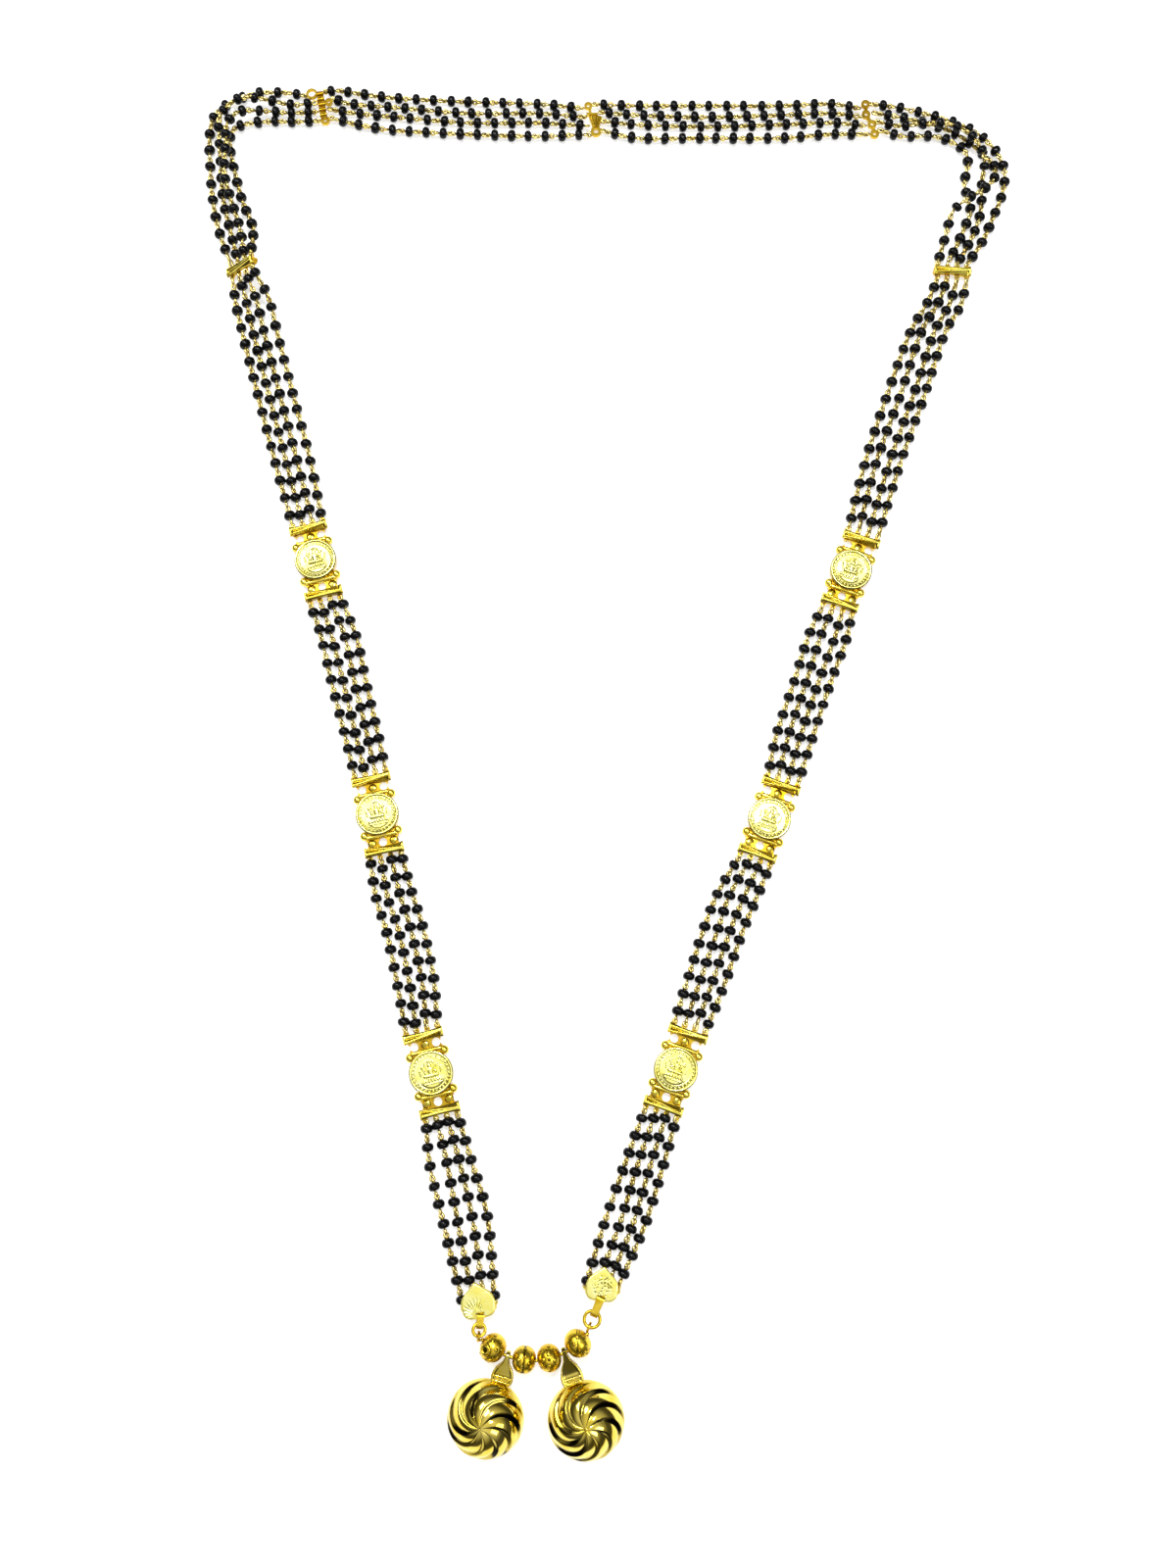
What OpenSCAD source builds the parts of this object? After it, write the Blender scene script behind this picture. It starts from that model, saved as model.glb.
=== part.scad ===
// Long mangalsutra laid out flat: four strands of black seed beads, coin links,
// strand spacers, two heart plates and a pair of fluted cup pendants on a wire.
// Millimetres, Z up, seen from above with the pendants at the bottom (-Y).

/* [Coin links] */
// Diameter of a coin
coin_d = 9.2; // [8.6:0.2:9.8]
// Thickness of a coin
coin_t = 1.0; // [0.8:0.1:1.2]
// Width of the raised rim of a coin
coin_rim_w = 0.45; // [0.35:0.05:0.6]
// Height of the raised rim and figure
relief_h = 0.25; // [0.15:0.05:0.35]
// Centre to centre length of a link between its two outer bars
link_len = 15.7; // [15.3:0.1:16.1]
// Length of an outer bar, across the link
bar_len = 8.0; // [7.6:0.1:8.4]
// Diameter of one rod of a twisted bar
bar_rod_d = 1.2; // [1.0:0.1:1.3]
// Thickness of the back plate under a coin
back_t = 1.4; // [1.2:0.1:1.6]
// Thickness of the pierced webs
web_t = 0.9; // [0.7:0.1:1.1]
// Diameter of a hole in a web
web_hole_d = 1.8; // [1.4:0.1:2.0]

/* [Eyelets] */
// Distance between neighbouring strands at an eyelet row
strand_pitch = 2.25; // [2.2:0.05:2.4]
// Outer diameter of an eyelet
eyelet_d = 1.2; // [1.1:0.05:1.3]
// Width of metal round the hole of an eyelet, and its thickness
eyelet_wire_d = 0.35; // [0.3:0.05:0.4]

/* [Strands] */
// Outer diameter of a strand of seed beads
strand_d = 2.0; // [1.6:0.1:2.0]
// Height of the middle of a strand that lies on the table
strand_z = 1.2; // [1.1:0.05:1.3]
// Clear gap between an eyelet and the end of its strand
strand_gap = 0.2; // [0.15:0.05:0.4]

/* [Strand spacers] */
// Length of the twisted bar of a side spacer
spacer_len = 8.4; // [8:0.1:8.8]
// Distance between strands at the three top spacers
top_pitch = 2.4; // [2.3:0.05:2.5]
// Outer diameter of a ring of a top spacer
top_ring_d = 2.1; // [2:0.05:2.3]
// Diameter of the hole in such a ring
top_hole_d = 0.9; // [0.7:0.05:1.1]
// Thickness of the flat metal of a top spacer
top_t = 0.7; // [0.5:0.1:0.9]

/* [Hearts] */
// Width of the left heart plate
heart_w = 6.9; // [6.6:0.1:7.2]
// Height of the left heart plate from its tip to its lower edge
heart_h = 7.0; // [6.8:0.1:7.3]
// Size of the right heart plate against the left one
right_heart_scale = 0.955; // [0.94:0.005:1]
// Thickness of a heart plate
heart_t = 0.7; // [0.5:0.1:0.9]
// Width of metal between the slot for the link and the lower edge
heart_rim = 0.7; // [0.6:0.05:0.75]
// Distance between neighbouring strands at a heart
heart_pitch = 2.15; // [2.15:0.05:2.25]

/* [Pendant wire] */
// Diameter of the wire that carries the pendants
wire_d = 0.7; // [0.5:0.1:0.8]
// Radius of the curve that the wire lies in
wire_r = 14.5; // [14.3:0.1:14.7]
// Wire thickness of the jump rings
ring_wire_d = 0.7; // [0.6:0.05:0.75]
// Outer diameter of the left jump ring
left_ring_d = 3.2; // [3.1:0.05:3.3]
// Outer diameter of the right jump ring
right_ring_d = 3.9; // [3.7:0.05:4]
// Wire thickness of the eye at each end of the pendant wire
eye_wire_d = 0.5; // [0.4:0.05:0.55]
// Outer diameter of that eye
eye_d = 2.1; // [2.05:0.05:2.2]
// Thickness of the strap that a heart link is bent from
link_strap_t = 0.3; // [0.2:0.05:0.35]

/* [Gold beads] */
// Diameter of an end gold bead across its hole
gold_bead_d = 5.8; // [5.5:0.1:5.9]
// Diameter of a middle gold bead across its hole
mid_bead_d = 5.5; // [5.2:0.1:5.7]
// Wall of a gold bead
gold_bead_wall = 0.35; // [0.3:0.05:0.5]
// Diameter of the hole through a gold bead
gold_bead_hole_d = 1.3; // [1.2:0.05:1.4]

/* [Cup pendants] */
// Diameter of a cup at its mouth
cup_d = 15.5; // [15:0.1:16]
// Height of a cup
cup_h = 6.4; // [6:0.1:7]
// Wall of a cup
cup_wall = 0.45; // [0.35:0.05:0.6]
// Height of the swirling flutes
flute_h = 0.6; // [0.4:0.05:0.7]
// Number of flutes on a cup
flute_count = 9; // [7:1:11]
// Greatest width of a bail, a little above its cup
bail_w = 4.5; // [4.2:0.1:4.7]
// Thickness of the strap that a bail is bent from
bail_t = 0.45; // [0.4:0.05:0.55]

/* [Hidden] */
$fn = 32;

gold = [0.93, 0.78, 0.22];
black = [0.05, 0.05, 0.06];

// Where the middle of the whole necklace lies, which becomes the origin
MIDDLE = [4.25, 15.45];
// Where the hardware lies: x, y of the middle and the turn of its run from +Y
LEFT_COINS = [[-32.5, -61.4, 14], [-45.1, -7, 12], [-60.3, 50.1, 14.5]];
RIGHT_COINS = [[18.2, -60.7, -19.5], [38.8, -8, -20], [58.1, 47.7, -19.5]];
LEFT_HEART = [-22.15, -106.35, 11];
RIGHT_HEART = [2.9, -103.2, -8];
LEFT_SPACER = [-79.45, 120.4, 8.5];
RIGHT_SPACER = [84.05, 120.2, -4.5];
// Where the jump rings pass through the eyes of the pendant wire
LEFT_EYE = [-21.92, -113.11];
RIGHT_EYE = [0.16, -111.32];
TOP_LEFT = [-62.8, 162.9, -79.5];
TOP_MIDDLE = [0.95, 159.4, -75.5];
TOP_RIGHT = [66.3, 159.45, -75.5];
// The left spacer is rolled about its run, its right end up
left_spacer_roll = 35;
// x, y of each cup's middle, its tilt, the side that is up, its bail's run and its flutes' turn
LEFT_CUP = [-20.35, -128.8, 10, 45, -105, 95];
RIGHT_CUP = [-0.4, -129.3, 5.5, 85, -71.8, 88];

// Routes of the strands between their eyelets, outer strand of the left side first:
// points chosen by hand, x, y and, where a strand rides over another, z
ROUTES = [
    ["left_strings_1", [
        [[-29.5, -91.5], [-32.5, -80]],
        [[-26.5, -91.5], [-29, -79.5]],
        [[-23.5, -91], [-26.5, -79]],
        [[-20.5, -90.5], [-24, -79]]]],
    ["left_strings_2", [
        [[-40, -43.5], [-42.5, -32.5], [-45, -25]],
        [[-37.5, -43], [-40, -32], [-42.5, -25]],
        [[-35, -42], [-37.5, -31.5], [-40, -24]],
        [[-32.5, -41.5], [-35, -31], [-37.5, -23.5]]]],
    ["left_strings_3", [
        [[-53, 11.5], [-56, 22.5], [-59, 34]],
        [[-50.5, 11], [-53.5, 22.5], [-56.5, 33.5]],
        [[-48, 11], [-51, 22.5], [-53.5, 33]],
        [[-45.5, 10.5], [-48.5, 22.5], [-51, 33]]]],
    ["left_strings_4", [
        [[-70.5, 74], [-75, 90], [-79, 104.5], [-81, 112.5]],
        [[-68, 74], [-72.5, 90], [-76.5, 104.5], [-78.5, 112.5]],
        [[-65.5, 74], [-70, 90], [-74, 104.5], [-76, 112.5, 2]],
        [[-62.5, 74], [-67, 90], [-71, 104.5], [-73, 112.5, 3]]]],
    ["left_strings_5", [
        [[-85.5, 130], [-87.5, 138.5], [-88.5, 147], [-89, 155.5], [-88, 160.5],
         [-85, 163.5], [-81, 165.5], [-77, 166.5], [-71, 166.4]],
        [[-83, 130.5], [-85, 138.5], [-86, 147], [-86.5, 154, 2], [-86.5, 158.5, 2.8],
         [-84.5, 161.5, 3.4], [-81.5, 163.5, 3.4], [-77, 164, 2.5], [-70, 163.2, 1.3]],
        [[-80.5, 130.5, 3], [-83, 138, 3], [-84.5, 144, 3.5], [-84.5, 151, 3.6],
         [-84.5, 156, 3.6], [-83, 159, 3.6], [-80.5, 160.5, 3], [-75, 161.3, 1.5], [-70, 161.1]],
        [[-77.5, 130.5, 2.5], [-80.5, 138], [-82.5, 145], [-84, 151.5], [-84, 155.5],
         [-82.5, 157.5], [-79, 158.5], [-74, 158.9], [-69, 158.8]]]],
    ["top_strings_left", [
        [[-59, 167], [-53, 166], [-45, 165], [-28, 164], [-12, 163.5]],
        [[-55.5, 163.4], [-45, 162.5], [-28, 161], [-12, 161]],
        [[-55.5, 161.1], [-45, 160], [-28, 158.5], [-12, 158.5]],
        [[-54, 158], [-45, 156.5], [-28, 155.5], [-12, 155]]]],
    ["top_strings_right", [
        [[12, 163], [28, 163], [45, 163], [57, 163.5]],
        [[12, 160.5], [28, 160], [45, 160.5], [57, 161]],
        [[12, 158], [28, 157.5], [45, 158], [57, 158.5]],
        [[12, 154.5], [28, 154.5], [45, 154.5], [57, 155.5]]]],
    ["right_strings_5", [
        [[73.5, 162.5], [81, 160.5], [86.5, 158.5], [90.5, 156.5], [94, 153.5],
         [96.5, 149.5], [97.5, 145], [96.5, 139.5], [94, 133.5], [91.5, 128]],
        [[73.5, 160], [81, 158], [86, 156], [90, 153], [93, 150], [95, 147, 1.5],
         [94.5, 143, 3], [91.5, 139.5, 3.8], [87.5, 137, 3.8], [84.5, 134.5, 2.5], [83, 129.5]],
        [[73.5, 157.5, 1.5], [79, 157, 3.2], [84.5, 156.5, 3.6], [88.5, 154.5, 3.6],
         [91, 151.5, 3.6], [92.5, 147.5, 3], [92, 143, 1.5], [91.5, 136], [90, 131], [87.8, 126.5]],
        [[74, 155], [81, 155], [85.5, 153.5], [88.5, 151], [89, 147.5], [88, 143],
         [88.5, 139], [89, 135.5], [87.5, 131.5], [85.5, 127]]]],
    ["right_strings_4", [
        [[62.5, 74], [68, 90], [73.5, 104.5], [78, 112.5]],
        [[65, 74], [71, 90], [76, 104.5], [80.5, 112.5]],
        [[68, 74], [74, 90], [79, 104.5], [83, 112]],
        [[70.5, 74], [76.5, 90], [81.5, 104.5], [85.5, 111.5]]]],
    ["right_strings_3", [
        [[41, 11], [45, 22.5], [48.5, 33]],
        [[43.5, 10.5], [47.5, 22], [51, 32.5]],
        [[46, 10], [50, 21.5], [54, 32]],
        [[48.5, 9.5], [52.5, 21], [56.5, 31.5]]]],
    ["right_strings_2", [
        [[21, -42], [24.5, -31.5], [27.5, -24]],
        [[23.5, -42.5], [27.5, -31.5], [30, -24.5]],
        [[26, -43], [30, -32], [33, -25]],
        [[28.5, -43.5], [32.5, -32.5], [35.5, -25.5]]]],
    ["right_strings_1", [
        [[3.5, -91], [7.5, -80]],
        [[6.5, -91.5], [10, -80.5]],
        [[9, -92], [12.5, -81]],
        [[11.5, -92], [15, -81.5]]]]
];
// Which eyelet of the right spacer each strand of the right corner comes down to
CORNER_ORDER = [3, 0, 2, 1];

strand_count = 4;
strand_sides = 8;
ring_step = 3.25 * strand_d;
strand_mid = (strand_count - 1) / 2;

// Eyelet rows
bar_cross = 0.35;
spacer_cross = 0.45;
eyelet_sink = 0.35;
eyelet_out = eyelet_d / 2 - eyelet_sink;
eyelet_reach = eyelet_out + eyelet_d / 2 + strand_gap;
spacer_reach = bar_rod_d / 2 + spacer_cross + eyelet_reach;
link_reach = link_len / 2 + bar_rod_d / 2 + bar_cross + eyelet_reach;

// Coin links
plate_half = 0.55 * coin_d / 2;
plate_len = 0.82 * coin_d;
web_w = bar_len - 1;
web_z = 0.4;
web_pitch = (web_w - web_hole_d) / 2 - 0.25;
nub_d = 1.5;
nub_x = web_w / 2 + 0.15;
nub_y = 0.44 * coin_d;
dot_count = 24;
dot_d = 0.3;

// Hearts
heart_low = 0.486 * heart_h;
heart_bar_y = -0.27 * heart_h;
heart_bar_w = 0.9;
heart_bar_z = 0.5;
heart_bar_top = strand_z + 0.4;
heart_bar_len = 0.98 * heart_w;
heart_eyelet_y = heart_bar_y + heart_bar_w / 2 + 0.07;
heart_reach = heart_eyelet_y + eyelet_reach;
link_gap = 0.25;
function link_y(s) = heart_rim / 2 - heart_low * s;

// Top spacers
top_z = strand_z - top_t / 2;
top_reach = top_ring_d / 2 + 0.85;
side_ring_d = 2.6;
LEFT_SIDE_REACH = [top_reach + 0.8 * side_ring_d, top_reach, top_reach, top_reach];
RIGHT_SIDE_REACH = [top_reach, top_reach + side_ring_d / 2, top_reach, top_reach];
MIDDLE_REACH = [top_reach, top_reach + 0.9, top_reach + 0.9, top_reach];

// Pendant wire and what hangs on it
wire_z = gold_bead_d / 2 + 0.2;
WIRE_MID = [-11.1, -103.2];
BEAD_ANGLES = [236.9, 263.5, 283.5, 309];
end_angle = 10.2;
left_end = BEAD_ANGLES[0] - end_angle;
right_end = BEAD_ANGLES[3] + end_angle;
left_bail_angle = (BEAD_ANGLES[0] + BEAD_ANGLES[1]) / 2;
right_bail_angle = (BEAD_ANGLES[2] + BEAD_ANGLES[3]) / 2;
eye_r = (eye_d - eye_wire_d) / 2;
left_ring_r = (left_ring_d - ring_wire_d) / 2;
right_ring_r = (right_ring_d - ring_wire_d) / 2;
bead_round = 0.845;
bead_shift = 0.1;
link_clear = 0.45;
link_half_in = ring_wire_d / 2 + 0.27;
link_half_h = link_half_in + link_strap_t;
heart_z = wire_z - heart_t / 2;
left_link_w = 1.4;
right_link_w = 1.7;

function wire_point(a) = [WIRE_MID[0] + wire_r * cos(a), WIRE_MID[1] + wire_r * sin(a)];
function place(row, x, y) = [
    row[0] + x * cos(row[2]) - y * sin(row[2]),
    row[1] + x * sin(row[2]) + y * cos(row[2])];
function heading(a, b) = atan2(b[1] - a[1], b[0] - a[0]);
function ahead(a, az, d) = [a[0] + d * cos(az), a[1] + d * sin(az)];
left_heart_point = place(LEFT_HEART, 0, link_y(1));
right_heart_point = place(RIGHT_HEART, 0, link_y(right_heart_scale));
left_az = heading(LEFT_EYE, left_heart_point);
right_az = heading(RIGHT_EYE, right_heart_point);

// Cups
cup_rings = 10;
cup_inner_rings = 5;
flute_sweep = 70;
flute_bend = 1.7;
flute_fall = 0.28;
FLUTE_PHASES = [0, 0.18, 0.38, 0.58, 1 - flute_fall, 1 - flute_fall / 2];
wire_hole = wire_d / 2 + 0.3;
bail_ring = wire_hole + bail_t;

// A strand's end: row of hardware, side of its run, strand number, reach, pitch, roll
function port(row, side, i, reach, pitch = strand_pitch, roll = 0) =
    let (x = (i - strand_mid) * pitch,
         p = place(row, x * cos(roll), side * reach))
    [p[0], p[1], strand_z + (strand_mid * pitch + x) * sin(roll)];

function strand_ends(name, i) =
    name == "left_strings_1" ? [port(LEFT_HEART, 1, i, heart_reach, heart_pitch), port(LEFT_COINS[0], -1, i, link_reach)] :
    name == "left_strings_2" ? [port(LEFT_COINS[0], 1, i, link_reach), port(LEFT_COINS[1], -1, i, link_reach)] :
    name == "left_strings_3" ? [port(LEFT_COINS[1], 1, i, link_reach), port(LEFT_COINS[2], -1, i, link_reach)] :
    name == "left_strings_4" ? [port(LEFT_COINS[2], 1, i, link_reach),
        port(LEFT_SPACER, -1, i, spacer_reach, strand_pitch, left_spacer_roll)] :
    name == "left_strings_5" ? [port(LEFT_SPACER, 1, i, spacer_reach, strand_pitch, left_spacer_roll),
        port(TOP_LEFT, -1, i, LEFT_SIDE_REACH[i], top_pitch)] :
    name == "top_strings_left" ? [port(TOP_LEFT, 1, i, RIGHT_SIDE_REACH[i], top_pitch),
        port(TOP_MIDDLE, -1, i, top_reach, top_pitch)] :
    name == "top_strings_right" ? [port(TOP_MIDDLE, 1, i, MIDDLE_REACH[i], top_pitch),
        port(TOP_RIGHT, -1, i, top_reach, top_pitch)] :
    name == "right_strings_5" ? [port(TOP_RIGHT, 1, i, top_reach, top_pitch),
        port(RIGHT_SPACER, 1, CORNER_ORDER[i], spacer_reach)] :
    name == "right_strings_4" ? [port(RIGHT_COINS[2], 1, i, link_reach), port(RIGHT_SPACER, -1, i, spacer_reach)] :
    name == "right_strings_3" ? [port(RIGHT_COINS[1], 1, i, link_reach), port(RIGHT_COINS[2], -1, i, link_reach)] :
    name == "right_strings_2" ? [port(RIGHT_COINS[0], 1, i, link_reach), port(RIGHT_COINS[1], -1, i, link_reach)] :
    [port(RIGHT_HEART, 1, i, heart_reach, heart_pitch), port(RIGHT_COINS[0], -1, i, link_reach)];

function route_rows(name) = [for (r = ROUTES) if (r[0] == name) r[1]][0];
function raised(p) = [p[0], p[1], len(p) > 2 ? p[2] + strand_z - 1.2 : strand_z];
function strand_route(name, i) =
    let (ends = strand_ends(name, i))
    concat([ends[0]], [for (p = route_rows(name)[i]) raised(p)], [ends[1]]);

// One span of a smooth curve through p1 and p2, led by p0 and p3
function span_point(p0, p1, p2, p3, t) =
    0.5 * (2 * p1 + (p2 - p0) * t + (2 * p0 - 5 * p1 + 4 * p2 - p3) * t * t
        + (3 * p1 - p0 - 3 * p2 + p3) * t * t * t);
function curve(p, step) =
    let (n = len(p), q = concat([2 * p[0] - p[1]], p, [2 * p[n - 1] - p[n - 2]]))
    concat([for (k = [0:n - 2])
        let (m = max(1, ceil(norm(p[k + 1] - p[k]) / step)))
        for (j = [0:m - 1]) span_point(q[k], q[k + 1], q[k + 2], q[k + 3], j / m)], [p[n - 1]]);
function unit(v) = v / norm(v);
function tangent(c, k) = unit(c[min(k + 1, len(c) - 1)] - c[max(k - 1, 0)]);

// Tube of polygon section swept along a curve
module tube(c, d, sides) {
    n = len(c);
    points = [for (k = [0:n - 1])
        let (t = tangent(c, k), s = unit(cross(t, [0, 0, 1])), u = cross(s, t))
        for (j = [0:sides - 1])
            let (a = 360 * (j + 0.5) / sides) c[k] + d / 2 * (cos(a) * s + sin(a) * u)];
    walls = [for (k = [0:n - 2], j = [0:sides - 1])
        let (m = (j + 1) % sides)
        [k * sides + j, k * sides + m, (k + 1) * sides + m, (k + 1) * sides + j]];
    first = [for (j = [sides - 1:-1:0]) j];
    last = [for (j = [0:sides - 1]) (n - 1) * sides + j];
    polyhedron(points, concat(walls, [first, last]), convexity = 4);
}

module strings(name) {
    color(black) laid()
        for (i = [0:strand_count - 1]) tube(curve(strand_route(name, i), ring_step), strand_d, strand_sides);
}

module laid() {
    translate([-MIDDLE[0], -MIDDLE[1], 0]) children();
}

module at_row(row, z = 0) {
    translate([row[0], row[1], z]) rotate([0, 0, row[2]]) children();
}

// Strap along x with bevelled edges, square in section
module strap(length, w) {
    b = w / 4;
    rotate([90, 0, 90])
        linear_extrude(length, center = true)
            polygon([
                [-w / 2, -w / 2 + b], [-w / 2 + b, -w / 2], [w / 2 - b, -w / 2], [w / 2, -w / 2 + b],
                [w / 2, w / 2 - b], [w / 2 - b, w / 2], [-w / 2 + b, w / 2], [-w / 2, w / 2 - b]
            ]);
}

// Two straps crossed at a narrow angle, one a little over the other, with a knob at each end
module twisted_bar(length, cross) {
    half = length / 2 - bar_rod_d / 2;
    lean = atan2(cross, half);
    for (s = [-1, 1]) {
        translate([0, 0, 0.06 * s]) rotate([0, 0, s * lean]) strap(2 * half, bar_rod_d);
        translate([s * half, 0, 0]) cylinder(d = bar_rod_d + 0.4, h = bar_rod_d + 0.3, center = true);
    }
}

module torus(r, d) {
    rotate_extrude() translate([r, 0]) circle(d = d);
}

// Flat ring of outer diameter d, band width w and thickness t
module ring(d, w, t) {
    difference() {
        cylinder(d = d, h = t, center = true);
        cylinder(d = d - 2 * w, h = t + 2, center = true);
    }
}

// Eyelets along an edge at y, on the side of the run that s gives
module eyelet_row(y, s, pitch = strand_pitch) {
    for (i = [0:strand_count - 1])
        translate([(i - strand_mid) * pitch, s * (y + eyelet_out), strand_z])
            ring(eyelet_d, eyelet_wire_d, eyelet_wire_d);
}

module capsule(a, b, d) {
    translate(a) circle(d = d);
    translate(b) circle(d = d);
    translate((a + b) / 2) rotate(atan2(b[1] - a[1], b[0] - a[0])) square([norm(b - a), d], center = true);
}

// A plain seated figure with a round halo, on a low seat
module seated_figure() {
    s = coin_d / 9.2;
    scale(s) {
        difference() {
            translate([0, 1.75]) circle(d = 2.7);
            translate([0, 1.75]) circle(d = 2.2);
        }
        translate([0, 1.75]) circle(d = 1.15);
        capsule([0, 0.8], [0, -0.2], 1.5);
        capsule([-0.7, 0.75], [-1.5, -0.15], 0.5);
        capsule([0.7, 0.75], [1.5, -0.15], 0.5);
        capsule([-1.5, -0.15], [-0.5, -0.75], 0.45);
        capsule([1.5, -0.15], [0.5, -0.75], 0.45);
        capsule([-1.9, -1.3], [0.9, -1.0], 0.75);
        capsule([1.9, -1.3], [-0.9, -1.0], 0.75);
        capsule([-2.1, -2.15], [2.1, -2.15], 0.5);
    }
}

module coin() {
    cylinder(d = coin_d, h = coin_t);
    translate([0, 0, coin_t]) {
        difference() {
            cylinder(d = coin_d, h = relief_h);
            translate([0, 0, -1]) cylinder(d = coin_d - 2 * coin_rim_w, h = relief_h + 2);
        }
        linear_extrude(relief_h) seated_figure();
        for (i = [0:dot_count - 1]) rotate([0, 0, (i + 0.5) * 360 / dot_count])
            translate([coin_d / 2 - coin_rim_w - dot_d, 0, 0]) cylinder(d = dot_d, h = relief_h * 0.8, $fn = 8);
    }
}

// Pierced web between a coin and an outer bar
module web() {
    start = plate_len / 2 - 0.4;
    end = link_len / 2 - bar_rod_d / 4;
    hole_y = (nub_y + nub_d / 4 + end) / 2;
    difference() {
        translate([-web_w / 2, start, web_z]) cube([web_w, end - start, web_t]);
        for (i = [-1:1]) translate([i * web_pitch, hole_y, -1]) cylinder(d = web_hole_d, h = web_z + web_t + 2);
        for (s = [-1, 1]) translate([s * (web_w / 2 + 0.9), hole_y, -1]) cylinder(d = 2.4, h = web_z + web_t + 2);
    }
}

module coin_link(row) {
    color(gold) laid() at_row(row) {
        translate([-plate_half, -plate_len / 2, 0]) cube([2 * plate_half, plate_len, back_t]);
        translate([0, 0, back_t]) coin();
        for (s = [-1, 1]) {
            mirror([0, s < 0 ? 1 : 0, 0]) web();
            translate([0, s * nub_y, strand_z]) strap(web_w, 1.1);
            for (t = [-1, 1]) translate([t * nub_x, s * nub_y, strand_z])
                cylinder(d = nub_d, h = nub_d - 0.1, center = true);
            translate([0, s * link_len / 2, strand_z]) twisted_bar(bar_len, bar_cross);
            eyelet_row(link_len / 2 + bar_rod_d / 2 + bar_cross, s);
        }
    }
}

module spacer_bar(row, roll) {
    lift = strand_mid * strand_pitch * sin(roll);
    color(gold) laid() at_row(row, strand_z + lift) rotate([0, -roll, 0]) translate([0, 0, -strand_z]) {
        translate([0, 0, strand_z]) twisted_bar(spacer_len, spacer_cross);
        for (s = [-1, 1]) eyelet_row(bar_rod_d / 2 + bar_cross, s);
    }
}

module flat_ring(d, hole) {
    difference() {
        cylinder(d = d, h = top_t);
        translate([0, 0, -1]) cylinder(d = hole, h = top_t + 2);
    }
}

// Upright ribbed strip seen on edge, with a large ring and two small ones
module top_spacer_left() {
    strip_w = 1.4;
    strip_end = strand_mid * top_pitch;
    ribs = 5;
    color(gold) laid() at_row(TOP_LEFT, top_z) {
        translate([-strip_end, -strip_w / 2, 0]) cube([2 * strip_end, strip_w, top_t + 0.3]);
        for (i = [0:ribs - 1]) translate([(i - (ribs - 1) / 2) * top_pitch * 0.58, 0, top_t + 0.3])
            rotate([90, 0, 0]) cylinder(d = 1, h = strip_w + 0.3, center = true);
        translate([-strip_end, -side_ring_d * 0.74, 0]) flat_ring(side_ring_d, side_ring_d - 0.9);
        translate([-top_pitch * 0.3, 1.7, 0]) flat_ring(1.8, 0.7);
        translate([-top_pitch * 0.3 - 0.3, 0.3, 0]) cube([0.6, 0.9, top_t]);
        translate([strip_end + 0.35, 0.15, 0]) flat_ring(top_ring_d, top_hole_d);
    }
}

// Ring, cross bar, funnel plate and ring, set square to the table's edge
module top_spacer_middle() {
    RINGS = [[-3.5, -0.9, 1.9, 0.8], [3.2, 0.95, 2.5, 1.2]];
    color(gold) laid() at_row(TOP_MIDDLE, top_z) rotate([0, 0, -14.5]) scale(top_pitch / 2.4) {
        for (r = RINGS) translate([r[0], r[1], 0]) flat_ring(r[2], r[3]);
        linear_extrude(top_t) polygon([[-2.75, -0.9], [-1.2, -0.6], [-1.2, 0], [-2.75, -0.35]]);
        translate([-1.4, -1.3, 0]) cube([0.55, 2.7, top_t + 0.3]);
        linear_extrude(top_t) polygon([[-1, -0.6], [-0.5, -0.75], [2.3, 0.1], [2.3, 1.7], [-0.5, 2.4], [-1, 1.2]]);
        for (s = [-1, 0, 1]) translate([0.85, 0.85 + 0.62 * s, top_t]) rotate([0, 90, -13 * s])
            cylinder(d = 0.5, h = 2.8, center = true);
    }
}

// Four small rings in a chain, soldered together
module top_spacer_right() {
    RINGS = [[-3.95, 0.25], [-1.3, -0.4], [1.5, 0.25], [4.1, 0.1]];
    color(gold) laid() at_row(TOP_RIGHT, top_z) scale(top_pitch / 2.4) difference() {
        union() {
            for (r = RINGS) translate([r[0], r[1], 0]) cylinder(d = top_ring_d, h = top_t);
            for (i = [0:2]) linear_extrude(top_t * 0.8) capsule(RINGS[i], RINGS[i + 1], 0.8);
        }
        for (r = RINGS) translate([r[0], r[1], -1]) cylinder(d = top_hole_d, h = top_t + 2);
    }
}

// Rounded triangle with its tip towards +Y
module heart_outline() {
    scale([heart_w / 6.9, heart_h / 7]) hull() {
        translate([0, 3.2]) circle(r = 0.4);
        translate([0, -1.4]) circle(r = 2);
        for (s = [-1, 1]) {
            translate([s * 0.6, -0.55]) circle(r = 2.85);
            translate([s * 1.7, -1.65]) circle(r = 1.6);
        }
    }
}

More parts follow.
